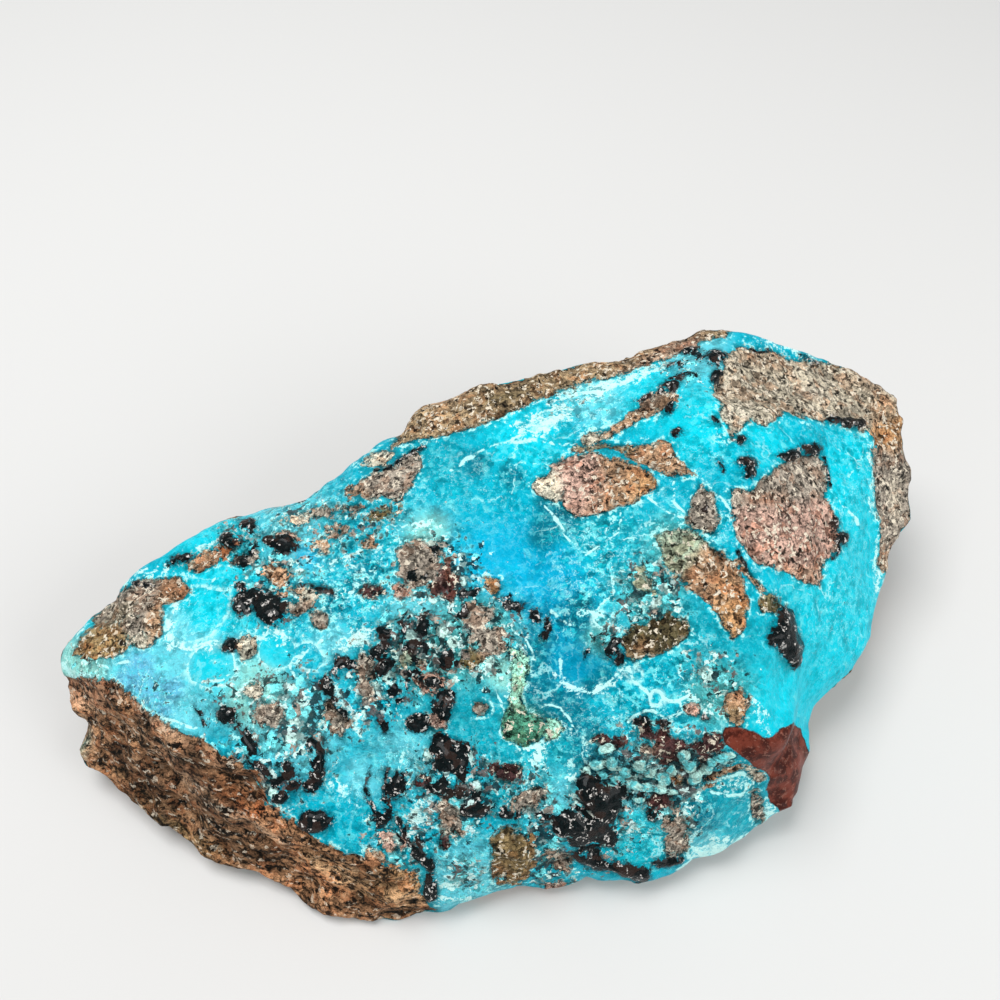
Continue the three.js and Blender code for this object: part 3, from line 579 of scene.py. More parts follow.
def soft_noise(p, size, salt):
    """Smooth heights in -1 to 1: corner values of a lattice, mixed by an eased position in the cell."""
    q = p / size
    base = np.floor(q)
    t = q - base
    t = t * t * t * (t * (t * 6 - 15) + 10)
    total = np.zeros(len(p))
    for corner in np.ndindex(2, 2, 2):
        weight = np.prod(np.where(corner, t, 1 - t), axis=1)
        total += weight * cell_value(base + corner, salt)
    return 2 * total - 1


def rough_noise(p, size, salt, octaves=3):
    """Soft noise added at halving sizes and halving heights."""
    return sum(soft_noise(p, size / 2 ** n, salt + n) / 2 ** n for n in range(octaves))


def knob_noise(p, size, salt):
    """One less the squared distance to the nearest scattered point: round knobs, 0 in the joints."""
    q = p / size
    base = np.floor(q)
    nearest = np.ones(len(p))
    for step in np.ndindex(3, 3, 3):
        cell = base + np.array(step) - 1
        point = cell + np.stack([cell_value(cell, salt + n) for n in range(3)], axis=1)
        nearest = np.minimum(nearest, ((q - point) ** 2).sum(axis=1))
    return 1 - nearest


def ramp(low, high, value):
    """Eased step from 0 at low to 1 at high."""
    t = np.clip((value - low) / (high - low), 0, 1)
    return t * t * (3 - 2 * t)


# The fine mesh.

def split_in_four(co, tri):
    """Each triangle becomes four and the form is eased: a middle point is 3/8 of each end and 1/8 of
    each point across the edge, an old point 5/8 of itself and 3/8 of its neighbours' mean."""
    ends = np.sort(np.concatenate([tri[:, [0, 1]], tri[:, [1, 2]], tri[:, [2, 0]]]), axis=1)
    across = np.concatenate([tri[:, 2], tri[:, 0], tri[:, 1]])
    edges, which = np.unique(ends, axis=0, return_inverse=True)
    which = which.ravel()
    sides = np.stack([np.bincount(which, co[across, k], len(edges)) for k in range(3)], axis=1)
    middle = 3 / 8 * co[edges].sum(axis=1) + sides / 8
    old = 5 / 8 * co + 3 / 8 * neighbour_mean(co, edges)
    ab, bc, ca = (which.reshape(3, -1) + len(co))
    a, b, c = tri.T
    quarters = [(a, ab, ca), (ab, b, bc), (ca, bc, c), (ab, bc, ca)]
    return np.concatenate([old, middle]), np.concatenate([np.stack(t, axis=1) for t in quarters])


def neighbour_mean(values, edges):
    """Mean of each point's neighbours along the edges, for a column or for several."""
    both = np.concatenate([edges, edges[:, ::-1]])
    count = np.bincount(both[:, 0], minlength=len(values))
    total = np.stack([np.bincount(both[:, 0], values[both[:, 1], k], len(values))
                      for k in range(values.shape[1])], axis=1)
    return total / count[:, None]


def point_normals(co, tri):
    """Sum of the cross products of the triangles round each point, scaled to length 1."""
    face = np.cross(co[tri[:, 1]] - co[tri[:, 0]], co[tri[:, 2]] - co[tri[:, 0]])
    total = np.stack([np.bincount(tri.ravel(), np.repeat(face[:, k], 3), len(co))
                      for k in range(3)], axis=1)
    return total / np.linalg.norm(total, axis=1)[:, None]


def packed_mesh(node):
    """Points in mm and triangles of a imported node, with points at the same place merged."""
    mesh = node.data
    co = np.empty(len(mesh.vertices) * 3, np.float32)
    mesh.vertices.foreach_get("co", co)
    mesh.calc_loop_triangles()
    tri = np.empty(len(mesh.loop_triangles) * 3, np.int32)
    mesh.loop_triangles.foreach_get("vertices", tri)
    co = co.reshape(-1, 3).astype(float) / MM
    _, first, same = np.unique(np.round(co, 3), axis=0, return_index=True, return_inverse=True)
    tri = same.ravel()[tri].reshape(-1, 3)
    whole = (tri[:, 0] != tri[:, 1]) & (tri[:, 1] != tri[:, 2]) & (tri[:, 2] != tri[:, 0])
    return co[first], tri[whole]


def on_picture(co):
    """Picture pixels of points in mm: sideways and upward offsets over the depth, times the focal
    length."""
    ahead = np.array([0, math.cos(CAMERA_TILT), -math.sin(CAMERA_TILT)])
    up = np.array([0, math.sin(CAMERA_TILT), math.cos(CAMERA_TILT)])
    q = co - CAMERA_PLACE
    depth = q @ ahead
    u = PICTURE / 2 + FOCAL_PIXELS * q[:, 0] / depth
    v = PICTURE / 2 - FOCAL_PIXELS * (q @ up) / depth
    return u, v


def joined(shapes, u, v):
    """Signed distance to the nearest of several shapes, kept within the reach."""
    total = np.full(u.shape, -REACH)
    for shape in shapes:
        total = np.maximum(total, shape(u, v))
    return np.clip(total, -REACH, REACH)


def zones(rows, u, v):
    """Strongest of several soft round zones, each its share times a bell of its radius."""
    total = np.zeros(u.shape)
    for x, y, radius, share in rows:
        total = np.maximum(total, share * np.exp(-((u - x) ** 2 + (v - y) ** 2) / radius ** 2))
    return total


def blended(weights, colours, base, base_weight):
    """Mean of linear colours by weight, with a base colour at a weight of its own."""
    total = base_weight * linear(base)[None, :]
    share = np.full(len(weights[0]), base_weight)
    for weight, colour in zip(weights, colours):
        total = total + weight[:, None] * linear(colour)[None, :]
        share = share + weight
    return total / share[:, None]


def mineral_fields(co, normal, edges):
    """Where each mineral lies: the picture's shapes on the side that faced the camera, and noise on
    the hidden sides, mixed by how far each point faced it. The shapes are read at places that noise
    has moved, so that their edges wander. A crust tint weighs more the smaller its radius is."""
    u, v = on_picture(co)
    to_camera = CAMERA_PLACE - co
    to_camera /= np.linalg.norm(to_camera, axis=1)[:, None]
    facing = (normal * to_camera).sum(axis=1)[:, None]
    for _ in range(SOFTENING):
        facing = neighbour_mean(facing, edges)
    seen = ramp(-0.35, -0.12, facing[:, 0])
    wobble_u = u + 3.0 * rough_noise(co, 1.6, 40)
    wobble_v = v + 3.0 * rough_noise(co, 1.6, 50)
    swayed_u = u + 2.4 * soft_noise(co, 1.3, 43)
    swayed_v = v + 2.4 * soft_noise(co, 1.3, 46)

    def side(shown, hidden):
        """The shown value where the camera saw the point, and the hidden one elsewhere."""
        return seen * shown + (1 - seen) * hidden

    broken = zones(BROKEN_ZONES, u, v)
    rock_shapes = [shape for _, shape in HOST_ROCK]
    rock = np.maximum(joined(rock_shapes, wobble_u, wobble_v), -REACH + 9.5 * broken)
    black = np.maximum(joined(BLACK_OXIDE, wobble_u, wobble_v), -REACH + 8.0 * broken)
    high = ramp(8, 22, co[:, 2])
    hidden_rock = np.clip(6 - 11 * rough_noise(co, 7.0, 60) - 3 * high, -REACH, REACH)
    hidden_black = np.clip(-9 + 12 * soft_noise(co, 3.2, 66), -REACH, 4)
    fields = {
        "rock": side(rock, hidden_rock),
        "black": side(black, hidden_black),
        "pale": side(joined(PALE_SILICA, wobble_u, wobble_v), -8 + 7 * soft_noise(co, 2.6, 68)),
        "jasper": side(joined(JASPER, swayed_u, swayed_v), -REACH),
        "broken": side(broken, 0.45),
        "lace": side(zones(LACE_ZONES, u, v), 0.35),
        "layered": side(ramp(-8, 4, WALL(u, v)), 1 - ramp(0.3, 0.75, np.abs(normal[:, 2]))),
        "drift": 0.5 + 0.5 * rough_noise(co, 4.0, 72),
        "loops": rough_noise(co, 2.8, 75, 2),
        "rimmed": side(joined(RIMMED, wobble_u, wobble_v), -REACH),
        "pebbles": side(joined(PEBBLES, swayed_u, swayed_v), -REACH),
        "calm": side(zones(CALM_POOLS, u, v), 0.0),
        "veins": side(joined([streak(*vein) for vein in VEINS], swayed_u, swayed_v), -REACH),
    }
    weights = [np.exp(-((u - x) ** 2 + (v - y) ** 2) / radius ** 2) * (40 / radius) ** 1.5
               for _, x, y, radius in CRUST_TINTS]
    crust = blended(weights, [tint for tint, *_ in CRUST_TINTS], SEA, 0.12)
    nearness = [np.exp(shape(u, v).clip(-40, 6) / 2.5) for _, shape in HOST_ROCK]
    shown_rock = blended(nearness, [tint for tint, _ in HOST_ROCK], GREY_BROWN, 0.002)
    swing = ramp(-0.6, 0.6, rough_noise(co, 6.0, 70))[:, None]
    far_rock = swing * linear(WALL_BROWN) + (1 - swing) * linear(HUMP_TAN)
    patchy = ramp(-0.5, 0.5, rough_noise(co, 5.0, 78))[:, None]
    far_crust = patchy * linear(CYAN) + (1 - patchy) * linear(TURQUOISE)
    tints = {
        "crust_tint": seen[:, None] * crust + (1 - seen[:, None]) * far_crust,
        "rock_tint": seen[:, None] * shown_rock + (1 - seen[:, None]) * far_rock,
    }
    return fields, tints


def relief(co, fields):
    """Height in mm above the eased solid: rough grain on rock with layers on its steep face, ripples
    or crumbs on crust, and domes on oxide and pebbles, each the square root of the depth inside."""
    rock = ramp(-2, 2, fields["rock"] + 3 * soft_noise(co, 0.9, 80))
    black = ramp(-1.5, 1.5, fields["black"])
    jasper = ramp(-2, 2, fields["jasper"])
    rough = 0.26 * rough_noise(co, 1.7, 81, 3) + 0.16 * (knob_noise(co, 1.5, 85) - 0.6)
    ripple = 0.12 * soft_noise(co, 2.6, 90) + 0.07 * soft_noise(co, 1.1, 91)
    crumbs = 0.34 * (knob_noise(co, 1.3, 92) - 0.5) + 0.14 * soft_noise(co, 0.8, 93)
    domes = 0.5 * np.sqrt(np.clip(fields["black"], 0, 9) / 9) + 0.22 * (knob_noise(co, 1.1, 95) - 0.4)
    layers = soft_noise(co * np.array([0.14, 0.14, 1.0]), 1.1, 97)
    strata = 0.34 * layers + 0.16 * soft_noise(co * np.array([0.5, 0.5, 1.6]), 1.0, 99)
    strata = strata * fields["layered"]
    crust = (1 - fields["broken"]) * ripple + fields["broken"] * crumbs
    height = crust * (1 - rock) + rock * (rough - 0.12 + strata * (1 - jasper))
    height = height * (1 - 0.6 * jasper)
    height = height + 0.45 * np.sqrt(np.clip(fields["pebbles"], 0, 5) / 5)
    return height * (1 - black) + black * domes


def stone_skin(node):
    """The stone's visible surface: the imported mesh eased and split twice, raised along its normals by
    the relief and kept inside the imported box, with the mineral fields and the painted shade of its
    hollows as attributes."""
    co, tri = packed_mesh(node)
    low, high = co.min(axis=0), co.max(axis=0)
    co, tri = split_in_four(*split_in_four(co, tri))
    normal = point_normals(co, tri)
    ends = np.concatenate([tri[:, [0, 1]], tri[:, [1, 2]], tri[:, [2, 0]]])
    edges = np.unique(np.sort(ends, axis=1), axis=0)
    fields, tints = mineral_fields(co, normal, edges)
    height = relief(co, fields)
    lifted = ramp(0.0, FOOT_MM, co[:, 2])
    co = co + normal * (height * lifted)[:, None]
    co = np.clip(co, low + INSIDE_MM, high - INSIDE_MM)
    co[:, 2] = np.where(lifted > 0, co[:, 2], low[2])
    # Painted shade: points lower than their softened neighbours are darkened in the material.
    smooth = height[:, None]
    for _ in range(SOFTENING):
        smooth = neighbour_mean(smooth, edges)
    fields["hollow"] = np.clip((smooth[:, 0] - height) * 4, -1, 1)

    mesh = bpy.data.meshes.new("stone_skin")
    mesh.from_pydata((co * MM).tolist(), [], tri.tolist())
    for name, values in fields.items():
        layer = mesh.attributes.new(name, "FLOAT", "POINT")
        layer.data.foreach_set("value", values.astype(np.float32))
    for name, values in tints.items():
        layer = mesh.color_attributes.new(name, "FLOAT_COLOR", "POINT")
        rgba = np.concatenate([values, np.ones((len(values), 1))], axis=1)
        layer.data.foreach_set("color", rgba.astype(np.float32).ravel())
    mesh.shade_smooth()
    mesh.update()
    skin = bpy.data.objects.new("stone_skin", mesh)
    bpy.context.scene.collection.objects.link(skin)
    return skin


# Sockets of the Mix node that carry colours.
MIX_COLOUR_A = 6
MIX_COLOUR_B = 7
MIX_COLOUR_OUT = 2


# Shader maths written as expressions.

class Value:
    """A number socket: arithmetic on it adds Math nodes."""

    def __init__(self, nodes, socket):
        self.nodes = nodes
        self.socket = socket

    def math(self, operation, other=None, swap=False):
        """A Math node on this number and another, which comes first where they are swapped."""
        args = [self.socket] if other is None else [self.socket, getattr(other, "socket", other)]
        if swap:
            args.reverse()
        out = self.nodes.node("ShaderNodeMath", {"operation": operation}, dict(enumerate(args)))
        return Value(self.nodes, out.outputs[0])

    def __add__(self, other):
        return self.math("ADD", other)

    def __sub__(self, other):
        return self.math("SUBTRACT", other)

    def __mul__(self, other):
        return self.math("MULTIPLY", other)

    def __rsub__(self, other):
        return self.math("SUBTRACT", other, swap=True)

    __radd__ = __add__
    __rmul__ = __mul__

    def more(self, other):
        """The larger of two numbers."""
        return self.math("MAXIMUM", other)

    def less(self, other):
        """The smaller of two numbers."""
        return self.math("MINIMUM", other)

    def size(self):
        """The number without its sign."""
        return self.math("ABSOLUTE")

    def step(self, low, high):
        """Eased step from 0 at low to 1 at high; the other way round where low is above high."""
        up = low < high
        out = self.nodes.node(
            "ShaderNodeMapRange", {"interpolation_type": "SMOOTHSTEP"},
            {"Value": self.socket, "From Min": min(low, high), "From Max": max(low, high),
             "To Min": 0.0 if up else 1.0, "To Max": 1.0 if up else 0.0})
        return Value(self.nodes, out.outputs[0])


class Nodes:
    """The node tree of one material, filled by plain calls."""

    def __init__(self, name):
        self.material = bpy.data.materials.new(name)
        self.material.use_nodes = True
        self.tree = self.material.node_tree
        self.tree.nodes.clear()

    def node(self, kind, settings=None, inputs=None):
        """A node of a kind, with its settings first and then the values or links of its sockets."""
        made = self.tree.nodes.new(kind)
        for name, value in (settings or {}).items():
            setattr(made, name, value)
        for name, value in (inputs or {}).items():
            value = getattr(value, "socket", value)
            if isinstance(value, bpy.types.NodeSocket):
                self.tree.links.new(value, made.inputs[name])
            else:
                made.inputs[name].default_value = value
        return made

    def field(self, name):
        """A number attribute of the mesh."""
        made = self.node("ShaderNodeAttribute", {"attribute_name": name})
        return Value(self, made.outputs["Fac"])

    def tint(self, name):
        """A colour attribute of the mesh."""
        return self.node("ShaderNodeAttribute", {"attribute_name": name}).outputs["Color"]

    def vector(self, operation, a, b=None, scale=None):
        """A Vector Math node on one or two vectors, or on one vector and a number."""
        inputs = {0: a}
        if b is not None:
            inputs[1] = b
        if scale is not None:
            inputs["Scale"] = scale
        return self.node("ShaderNodeVectorMath", {"operation": operation}, inputs).outputs[0]

    def noise(self, where, scale, detail, roughness):
        """Noise as a number and as a colour."""
        made = self.node("ShaderNodeTexNoise", None, {
            "Vector": where, "Scale": scale, "Detail": detail, "Roughness": roughness})
        return Value(self, made.outputs["Fac"]), made.outputs["Color"]

    def cells(self, where, scale):
        """Distance to the nearest scattered point, and three chance values for each cell."""
        made = self.node("ShaderNodeTexVoronoi", {"feature": "F1"}, {
            "Vector": where, "Scale": scale})
        split = self.node("ShaderNodeSeparateColor", None, {"Color": made.outputs["Color"]})
        return Value(self, made.outputs["Distance"]), [Value(self, split.outputs[n]) for n in range(3)]

    def mix(self, factor, a, b, blend="MIX"):
        """Colour a going to colour b as the factor goes from 0 to 1; a tuple is a display colour."""
        made = self.node("ShaderNodeMix", {"data_type": "RGBA", "blend_type": blend}, {0: factor})
        for index, value in ((MIX_COLOUR_A, a), (MIX_COLOUR_B, b)):
            value = getattr(value, "socket", value)
            if isinstance(value, bpy.types.NodeSocket):
                self.tree.links.new(value, made.inputs[index])
            else:
                made.inputs[index].default_value = (*linear(value), 1)
        return made.outputs[MIX_COLOUR_OUT]

    def brighten(self, colour, amount):
        """Colour times a number."""
        return self.vector("SCALE", colour, scale=amount)


def shared_patterns(nodes):
    """What all the minerals share: the mesh's fields, noises and cells in mm, bent by one warp, and
    the distance to each mineral's edge in pixels of the photograph, made ragged by the noises."""
    shared = SimpleNamespace()
    place = nodes.node("ShaderNodeTexCoord").outputs["Object"]
    shared.mm = nodes.vector("SCALE", place, scale=1 / MM)
    shared.edge, edge_colour = nodes.noise(shared.mm, scale=1.5, detail=3.0, roughness=0.62)
    shared.fine, _ = nodes.noise(shared.mm, scale=4.2, detail=2.0, roughness=0.6)
    centred = nodes.vector("SUBTRACT", edge_colour, (0.5, 0.5, 0.5))
    shared.warp = nodes.vector("SCALE", centred, scale=WARP_MM)
    warped = nodes.vector("ADD", shared.mm, shared.warp)
    shared.crumb_distance, shared.crumb = nodes.cells(warped, scale=1.15)
    _, shared.chip = nodes.cells(warped, scale=2.7)
    shared.dust, _ = nodes.noise(warped, scale=2.4, detail=2.0, roughness=0.65)
    shared.sand = shared.dust.step(0.40, 0.60)
    shared.cloud, _ = nodes.noise(warped, scale=0.75, detail=3.0, roughness=0.64)
    slanted = nodes.node("ShaderNodeMapping", None, {
        "Vector": warped, "Rotation": (0, 0, math.radians(-38)), "Scale": (0.55, 1.7, 1.2)})
    shared.wisp, _ = nodes.noise(slanted.outputs[0], scale=1.15, detail=3.0, roughness=0.66)

    shared.ragged = (shared.edge - 0.5) * 16 + (shared.fine - 0.5) * 9
    shared.broken = nodes.field("broken")
    shared.lace = nodes.field("lace")
    shared.drift = nodes.field("drift")
    shared.layered = nodes.field("layered")
    shared.plain = 1 - nodes.field("calm") * 0.8
    rock_crumbs = (shared.crumb[0] - 0.5) * shared.broken * 16
    black_crumbs = (shared.crumb[1] - 0.6) * shared.broken * 15
    shared.rock_edge = nodes.field("rock") + shared.ragged * 0.8 + rock_crumbs
    shared.black_edge = nodes.field("black") + shared.ragged * 0.6 + black_crumbs
    shared.pale_edge = nodes.field("pale") + shared.ragged * 1.4 + (shared.chip[2] - 0.5) * 7
    shared.jasper_edge = nodes.field("jasper") + shared.ragged * 0.22
    shared.pebble_edge = nodes.field("pebbles") + shared.ragged * 0.24
    shared.rock = shared.rock_edge.step(-0.6, 0.6)
    shared.black = shared.black_edge.step(-0.6, 0.6)
    shared.jasper = shared.jasper_edge.step(-0.8, 0.8)
    milky_chips = shared.broken * shared.chip[0].step(0.45, 0.95) * 0.6
    shared.milk = (shared.cloud.step(0.60, 0.72) * 0.5 + milky_chips).less(1.0)
    return shared


def crust_body(nodes, shared):
    """The crust's own colour: its tint with deep pools, slanting wisps, milky clouds, dark blots and
    pale specks, all fainter in the calm pools."""
    tint = nodes.tint("crust_tint")
    busy = (shared.lace + shared.broken).less(1.0) * shared.plain
    deep = shared.cloud.step(0.52, 0.36) * (0.34 + busy * 0.56) * shared.plain
    body = nodes.mix(deep, tint, nodes.brighten(tint, 0.40))
    shade = shared.wisp.step(0.46, 0.34) * (0.15 + busy * 0.5) * shared.plain
    body = nodes.mix(shade, body, nodes.brighten(body, 0.42))
    body = nodes.mix(shared.wisp.step(0.56, 0.66) * (0.12 + shared.lace * 0.38), body, BRIGHT_CYAN)
    body = nodes.mix(shared.milk, body, MILK)
    blot = shared.crumb[1].step(0.62, 0.80) * shared.crumb_distance.step(0.50, 0.34)
    body = nodes.mix(blot * (0.12 + busy * 0.75), body, nodes.brighten(body, 0.45))
    specks = shared.dust.step(0.57, 0.64) * (0.18 + busy * 0.22) * shared.plain
    body = nodes.mix(specks, body, SPECKLE)
    dark_specks = shared.dust.step(0.42, 0.35) * (0.22 + busy * 0.30) * shared.plain
    body = nodes.mix(dark_specks, body, nodes.brighten(body, 0.38))
    net = shared.crumb_distance.step(0.50, 0.60) * shared.edge.step(0.47, 0.55) * (0.04 + busy * 0.60)
    return nodes.mix(net, body, NET_WHITE)


def crust_marks(nodes, shared, body):
    """White lines over the crust's body: lines where a noise crosses its middle value, frost round
    the pools, drawn veins, pale silica, white rims and painted dark teal shadow beside the host rock,
    and dark halos beside the oxide."""
    loops = (nodes.field("loops") + (shared.edge - 0.5) * 0.9).size().step(0.075, 0.02)
    wisp_line = (shared.wisp - 0.5).size().step(0.020, 0.004)
    cloud_line = (shared.cloud - 0.5).size().step(0.016, 0.003)
    pool = nodes.field("rimmed") + shared.ragged * 0.22
    frost = pool.step(-6.0, -0.6) * pool.step(0.4, -0.4)
    vein = (nodes.field("veins") + shared.ragged * 0.16).step(-0.5, 0.5)
    lines = (loops * shared.drift.step(0.42, 0.56)).more(wisp_line * shared.drift.step(0.52, 0.40))
    lines = lines.more(cloud_line * shared.fine.step(0.50, 0.58))
    lines = lines * (shared.lace * 1.4 + 0.08).less(1.0) * shared.plain
    frosted = frost * (0.15 + shared.edge.step(0.42, 0.56) * 0.75)
    lines = (lines * shared.edge.step(0.42, 0.52)).more(frosted)
    lines = lines.more(vein * shared.edge.step(0.34, 0.42))
    body = nodes.mix(lines * 0.95, body, LINE_WHITE)
    pale = shared.pale_edge.step(-1.0, 1.5)
    body = nodes.mix(pale * shared.wisp.step(0.36, 0.54) * 0.95, body, SILICA_WHITE)
    rim = shared.rock_edge.step(-4.5, -1.6) * shared.edge.step(0.50, 0.60)
    body = nodes.mix(rim * 0.85, body, RIM_WHITE)
    # Painted shadow in the crust just outside the host rock.
    clast_shadow = shared.rock_edge.step(-9.0, -1.0) * shared.edge.step(0.50, 0.40)
    body = nodes.mix(clast_shadow * 0.6, body, CLAST_SHADOW)
    halo = shared.black_edge.step(-4.0, -0.8) * shared.fine.step(0.58, 0.46)
    return nodes.mix(halo * 0.7, body, OXIDE_HALO)


def broken_crust(nodes, shared, body):
    """Breccia: each cell of the broken zones takes a crumb's colour by its chance value, with light
    and dark chips inside and dark joints between."""
    crumbs = body
    for share, colour in CRUMBS:
        crumbs = nodes.mix(shared.crumb[2].step(share, share + 0.02), crumbs, colour)
    crumbs = nodes.brighten(crumbs, 0.35 + shared.chip[1] * 0.80 + shared.sand * 0.55)
    crumbs = nodes.mix(shared.chip[0].step(0.86, 0.90), crumbs, FROSTED_CHIP)
    crumbs = nodes.mix(shared.chip[0].step(0.17, 0.13), crumbs, DARK_CHIP)
    crumbs = nodes.mix(shared.crumb_distance.step(0.50, 0.66) * 0.7, crumbs, CRUMB_JOINT)
    mosaic = (shared.broken * 1.15 + (shared.edge - 0.5) * 2.0).step(0.42, 0.56)
    return nodes.mix(mosaic * 0.9, body, crumbs)


def host_rock(nodes, shared):
    """Host rock: its tint times a lightness that is grainy on open faces and drawn out in layers on
    the steep ones, with warm crumbs, painted highlights on the layers and grains, painted shade in pits
    and a green blush near the crust."""
    eased = nodes.vector("ADD", shared.mm, nodes.vector("SCALE", shared.warp, scale=0.5))
    layer_place = nodes.vector("MULTIPLY", eased, (0.6, 0.6, 1.5))
    mica, _ = nodes.noise(layer_place, scale=0.95, detail=3.0, roughness=0.74)
    _, flake = nodes.cells(layer_place, scale=3.0)
    open_face = 1 - shared.layered
    grains = shared.chip[0] * 1.05 + shared.crumb[2] * 0.40 + shared.sand * 1.15 - 0.14
    layers = mica.step(0.43, 0.57) * 1.60 + flake[0] * 1.05 + shared.sand * 1.10 - 0.64
    grainy = grains * open_face * (0.75 + shared.drift * 0.5)
    drawn_out = layers * shared.layered * (0.35 + shared.drift * 1.3)
    stone = nodes.brighten(nodes.tint("rock_tint"), (grainy + drawn_out).more(0.06))
    warm = shared.crumb[0].step(0.55, 0.9) * 0.35
    stone = nodes.mix(warm, stone, nodes.mix(1.0, stone, WARM_WASH, "MULTIPLY"))
    # Painted highlight along the layers of the steep faces.
    stone = nodes.mix(shared.layered * mica.step(0.58, 0.66) * flake[0] * 0.8, stone, LAYER_HIGHLIGHT)
    # Painted highlights on flakes of the layers and on grains of the open faces.
    flake_glints = flake[1].step(0.84, 0.92) * shared.layered * 0.55
    glint = shared.chip[2].step(0.76, 0.84) * open_face + flake_glints
    stone = nodes.mix(glint * shared.sand.step(0.2, 0.6) * 0.95, stone, GLINT)
    # Painted shade in small pits of the rock.
    pit_shade = shared.chip[1].step(0.82, 0.90) * open_face + flake[2].step(0.72, 0.82) * shared.layered
    stone = nodes.mix(pit_shade * 0.85 * shared.dust.step(0.60, 0.46), stone, PIT_SHADE)
    green = shared.rock_edge.step(5.0, 1.0) * shared.fine.step(0.5, 0.62)
    return nodes.mix(green * open_face * 0.5, stone, GREEN_BLUSH)


def jasper_red(nodes, shared):
    """Jasper: dark to brick red by the clouds, with pale flecks and a broken dark rim."""
    red = nodes.mix(shared.cloud.step(0.40, 0.60), JASPER_SHADE, JASPER_RED)
    red = nodes.mix(shared.dust.step(0.56, 0.64) * 0.5, red, JASPER_FLECK)
    rim = shared.jasper_edge.size().step(2.2, 0.6) * shared.edge.step(0.44, 0.54)
    return nodes.mix(rim * 0.8, red, JASPER_RIM)


def oxide_black(nodes, shared):
    """Black oxide: black to grey by the chips, with brown crumbs and small painted highlights."""
    soot = nodes.mix(shared.chip[0].step(0.60, 0.98), OXIDE_BLACK, OXIDE_GREY)
    soot = nodes.mix(shared.crumb[2].step(0.74, 0.88) * 0.6, soot, OXIDE_BROWN)
    # Small painted highlights.
    return nodes.mix(shared.chip[2].step(0.80, 0.86) * shared.fine.step(0.45, 0.6), soot, OXIDE_GLINT)


def pebble_rows(nodes, shared, colour):
    """Pale pebbles over the other minerals, with dark joints just outside their edges."""
    joints = shared.pebble_edge.step(-5.0, -1.2) * shared.pebble_edge.step(0.6, -0.6)
    colour = nodes.mix(joints * (0.25 + shared.fine.step(0.58, 0.48) * 0.55), colour, PEBBLE_JOINT)
    pebble = nodes.mix(shared.cloud.step(0.44, 0.56), PEBBLE_TEAL, PEBBLE_PALE)
    pebble = nodes.brighten(pebble, 0.62 + shared.sand * 0.55)
    return nodes.mix(shared.pebble_edge.step(-0.6, 0.6), colour, pebble)


def small_lumps(nodes, shared):
    """Fine relief in mm from a noise of its own, so that it stays quick: highest on rock and broken
    crust, lowest on jasper."""
    bumps, _ = nodes.noise(shared.mm, scale=2.6, detail=2.0, roughness=0.72)
    rock_share = nodes.field("rock").step(-1.5, 1.5)
    black_share = nodes.field("black").step(-1.0, 1.0)
    jasper_share = nodes.field("jasper").step(-1.0, 1.0)
    depth = (0.16 + shared.broken * 0.40) * (1 - rock_share) + rock_share * 0.75
    depth = depth * (1 - jasper_share * 0.8)
    height = bumps * (depth * (1 - black_share) + black_share * 0.45)
    return nodes.node("ShaderNodeBump", None, {"Strength": 1.0, "Distance": MM, "Height": height})


def mineral_material():
    """One material for the whole stone: crust, host rock, pebbles, jasper and oxide over each other,
    with ragged edges between, painted shade in the hollows, waxy crust, dull rock and bright oxide."""
    nodes = Nodes("chrysocolla_minerals")
    shared = shared_patterns(nodes)
    body = broken_crust(nodes, shared, crust_marks(nodes, shared, crust_body(nodes, shared)))
    colour = nodes.mix(shared.rock, body, host_rock(nodes, shared))
    joint = shared.rock_edge.size().step(1.5, 0.3) * shared.fine.step(0.56, 0.46)
    colour = nodes.mix(joint * 0.75, colour, ROCK_JOINT)
    colour = pebble_rows(nodes, shared, colour)
    colour = nodes.mix(shared.jasper, colour, jasper_red(nodes, shared))
    colour = nodes.mix(shared.black, colour, oxide_black(nodes, shared))
    # Painted shade in the hollows of the relief.
    hollow = nodes.field("hollow").step(0.0, 0.9)
    colour = nodes.mix(hollow * 0.7, colour, nodes.brighten(colour, 0.22))

    waxy = 0.40 + shared.milk * 0.15
    dull = 0.55 + shared.dust * 0.2
    roughness = waxy * (1 - shared.rock) + shared.rock * dull
    roughness = roughness * (1 - shared.jasper) + shared.jasper * JASPER_ROUGHNESS
    roughness = roughness * (1 - shared.black) + shared.black * OXIDE_ROUGHNESS

    shader = nodes.node("ShaderNodeBsdfPrincipled", None, {
        "Base Color": colour, "Roughness": roughness, "Normal": small_lumps(nodes, shared).outputs[0],
        "Coat Weight": shared.black * 0.18, "Coat Roughness": 0.12, "Specular IOR Level": 0.09,
        "Specular Tint": (0.35, 0.95, 1.0, 1.0)})
    out = nodes.node("ShaderNodeOutputMaterial")
    nodes.tree.links.new(shader.outputs[0], out.inputs["Surface"])
    return nodes.material


def plain_floor():
    """A pale sheet under the stone."""
    mesh = bpy.data.meshes.new("floor")
    half = FLOOR_HALF
    mesh.from_pydata([(-half, -half, 0), (half, -half, 0), (half, half, 0), (-half, half, 0)], [],
                     [(0, 1, 2, 3)])
    floor = bpy.data.objects.new("floor", mesh)
    bpy.context.scene.collection.objects.link(floor)
    material = bpy.data.materials.new("pale_floor")
    material.use_nodes = True
    shader = material.node_tree.nodes["Principled BSDF"]
    shader.inputs["Base Color"].default_value = (0.70, 0.70, 0.69, 1)
    shader.inputs["Roughness"].default_value = 0.85
    mesh.materials.append(material)


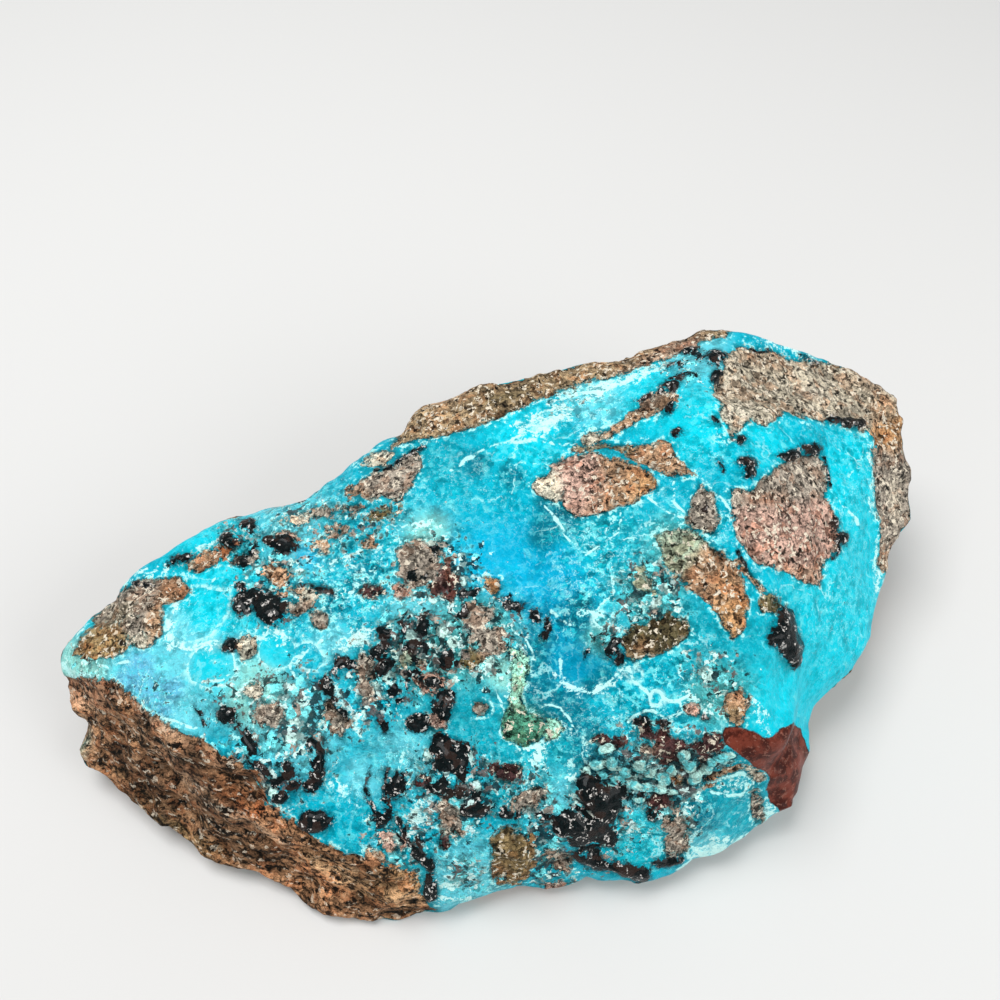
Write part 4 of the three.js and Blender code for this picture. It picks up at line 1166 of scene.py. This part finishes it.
def soft_box(name, place, size, power, target):
    """A square area light at a place in mm, turned towards a target in mm."""
    light = bpy.data.lights.new(name, "AREA")
    light.shape = "SQUARE"
    light.size = size * MM
    light.energy = power
    lamp = bpy.data.objects.new(name, light)
    lamp.location = Vector(place) * MM
    lamp.rotation_euler = (Vector(target) - Vector(place)).to_track_quat("-Z", "Y").to_euler()
    bpy.context.scene.collection.objects.link(lamp)


def studio_light():
    """Even daylight from above, a little stronger from the left and behind."""
    world = bpy.data.worlds.new("studio")
    world.use_nodes = True
    background = world.node_tree.nodes["Background"]
    background.inputs["Color"].default_value = (1.0, 1.0, 1.0, 1)
    background.inputs["Strength"].default_value = SKY_STRENGTH
    bpy.context.scene.world = world
    soft_box("key_light", (-110, 60, 360), LIGHT_SIDE, KEY_WATTS, LIT_PLACE)
    soft_box("fill_light", (260, -140, 200), LIGHT_SIDE, FILL_WATTS, LIT_PLACE)
    bpy.context.scene.view_settings.view_transform = "Standard"


def photograph_camera():
    """The photograph's camera: its place, tilt and focal length."""
    camera = bpy.data.cameras.new("camera")
    camera.sensor_width = SENSOR_MM
    camera.lens = SENSOR_MM * FOCAL_PIXELS / PICTURE
    camera.clip_start = 0.005
    holder = bpy.data.objects.new("camera", camera)
    holder.location = Vector(CAMERA_PLACE) * MM
    holder.rotation_euler = (math.pi / 2 - CAMERA_TILT, 0, 0)
    bpy.context.scene.collection.objects.link(holder)
    bpy.context.scene.camera = holder


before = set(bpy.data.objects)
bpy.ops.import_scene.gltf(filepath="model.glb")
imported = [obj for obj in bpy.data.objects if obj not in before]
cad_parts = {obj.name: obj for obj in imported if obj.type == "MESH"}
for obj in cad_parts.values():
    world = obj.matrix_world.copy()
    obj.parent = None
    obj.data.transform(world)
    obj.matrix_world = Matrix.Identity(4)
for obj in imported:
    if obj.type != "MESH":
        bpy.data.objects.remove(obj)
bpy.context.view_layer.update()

stone = stone_skin(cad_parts[STONE])
stone.data.materials.append(mineral_material())
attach(stone, "root")
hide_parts(STONE)

plain_floor()
studio_light()
photograph_camera()
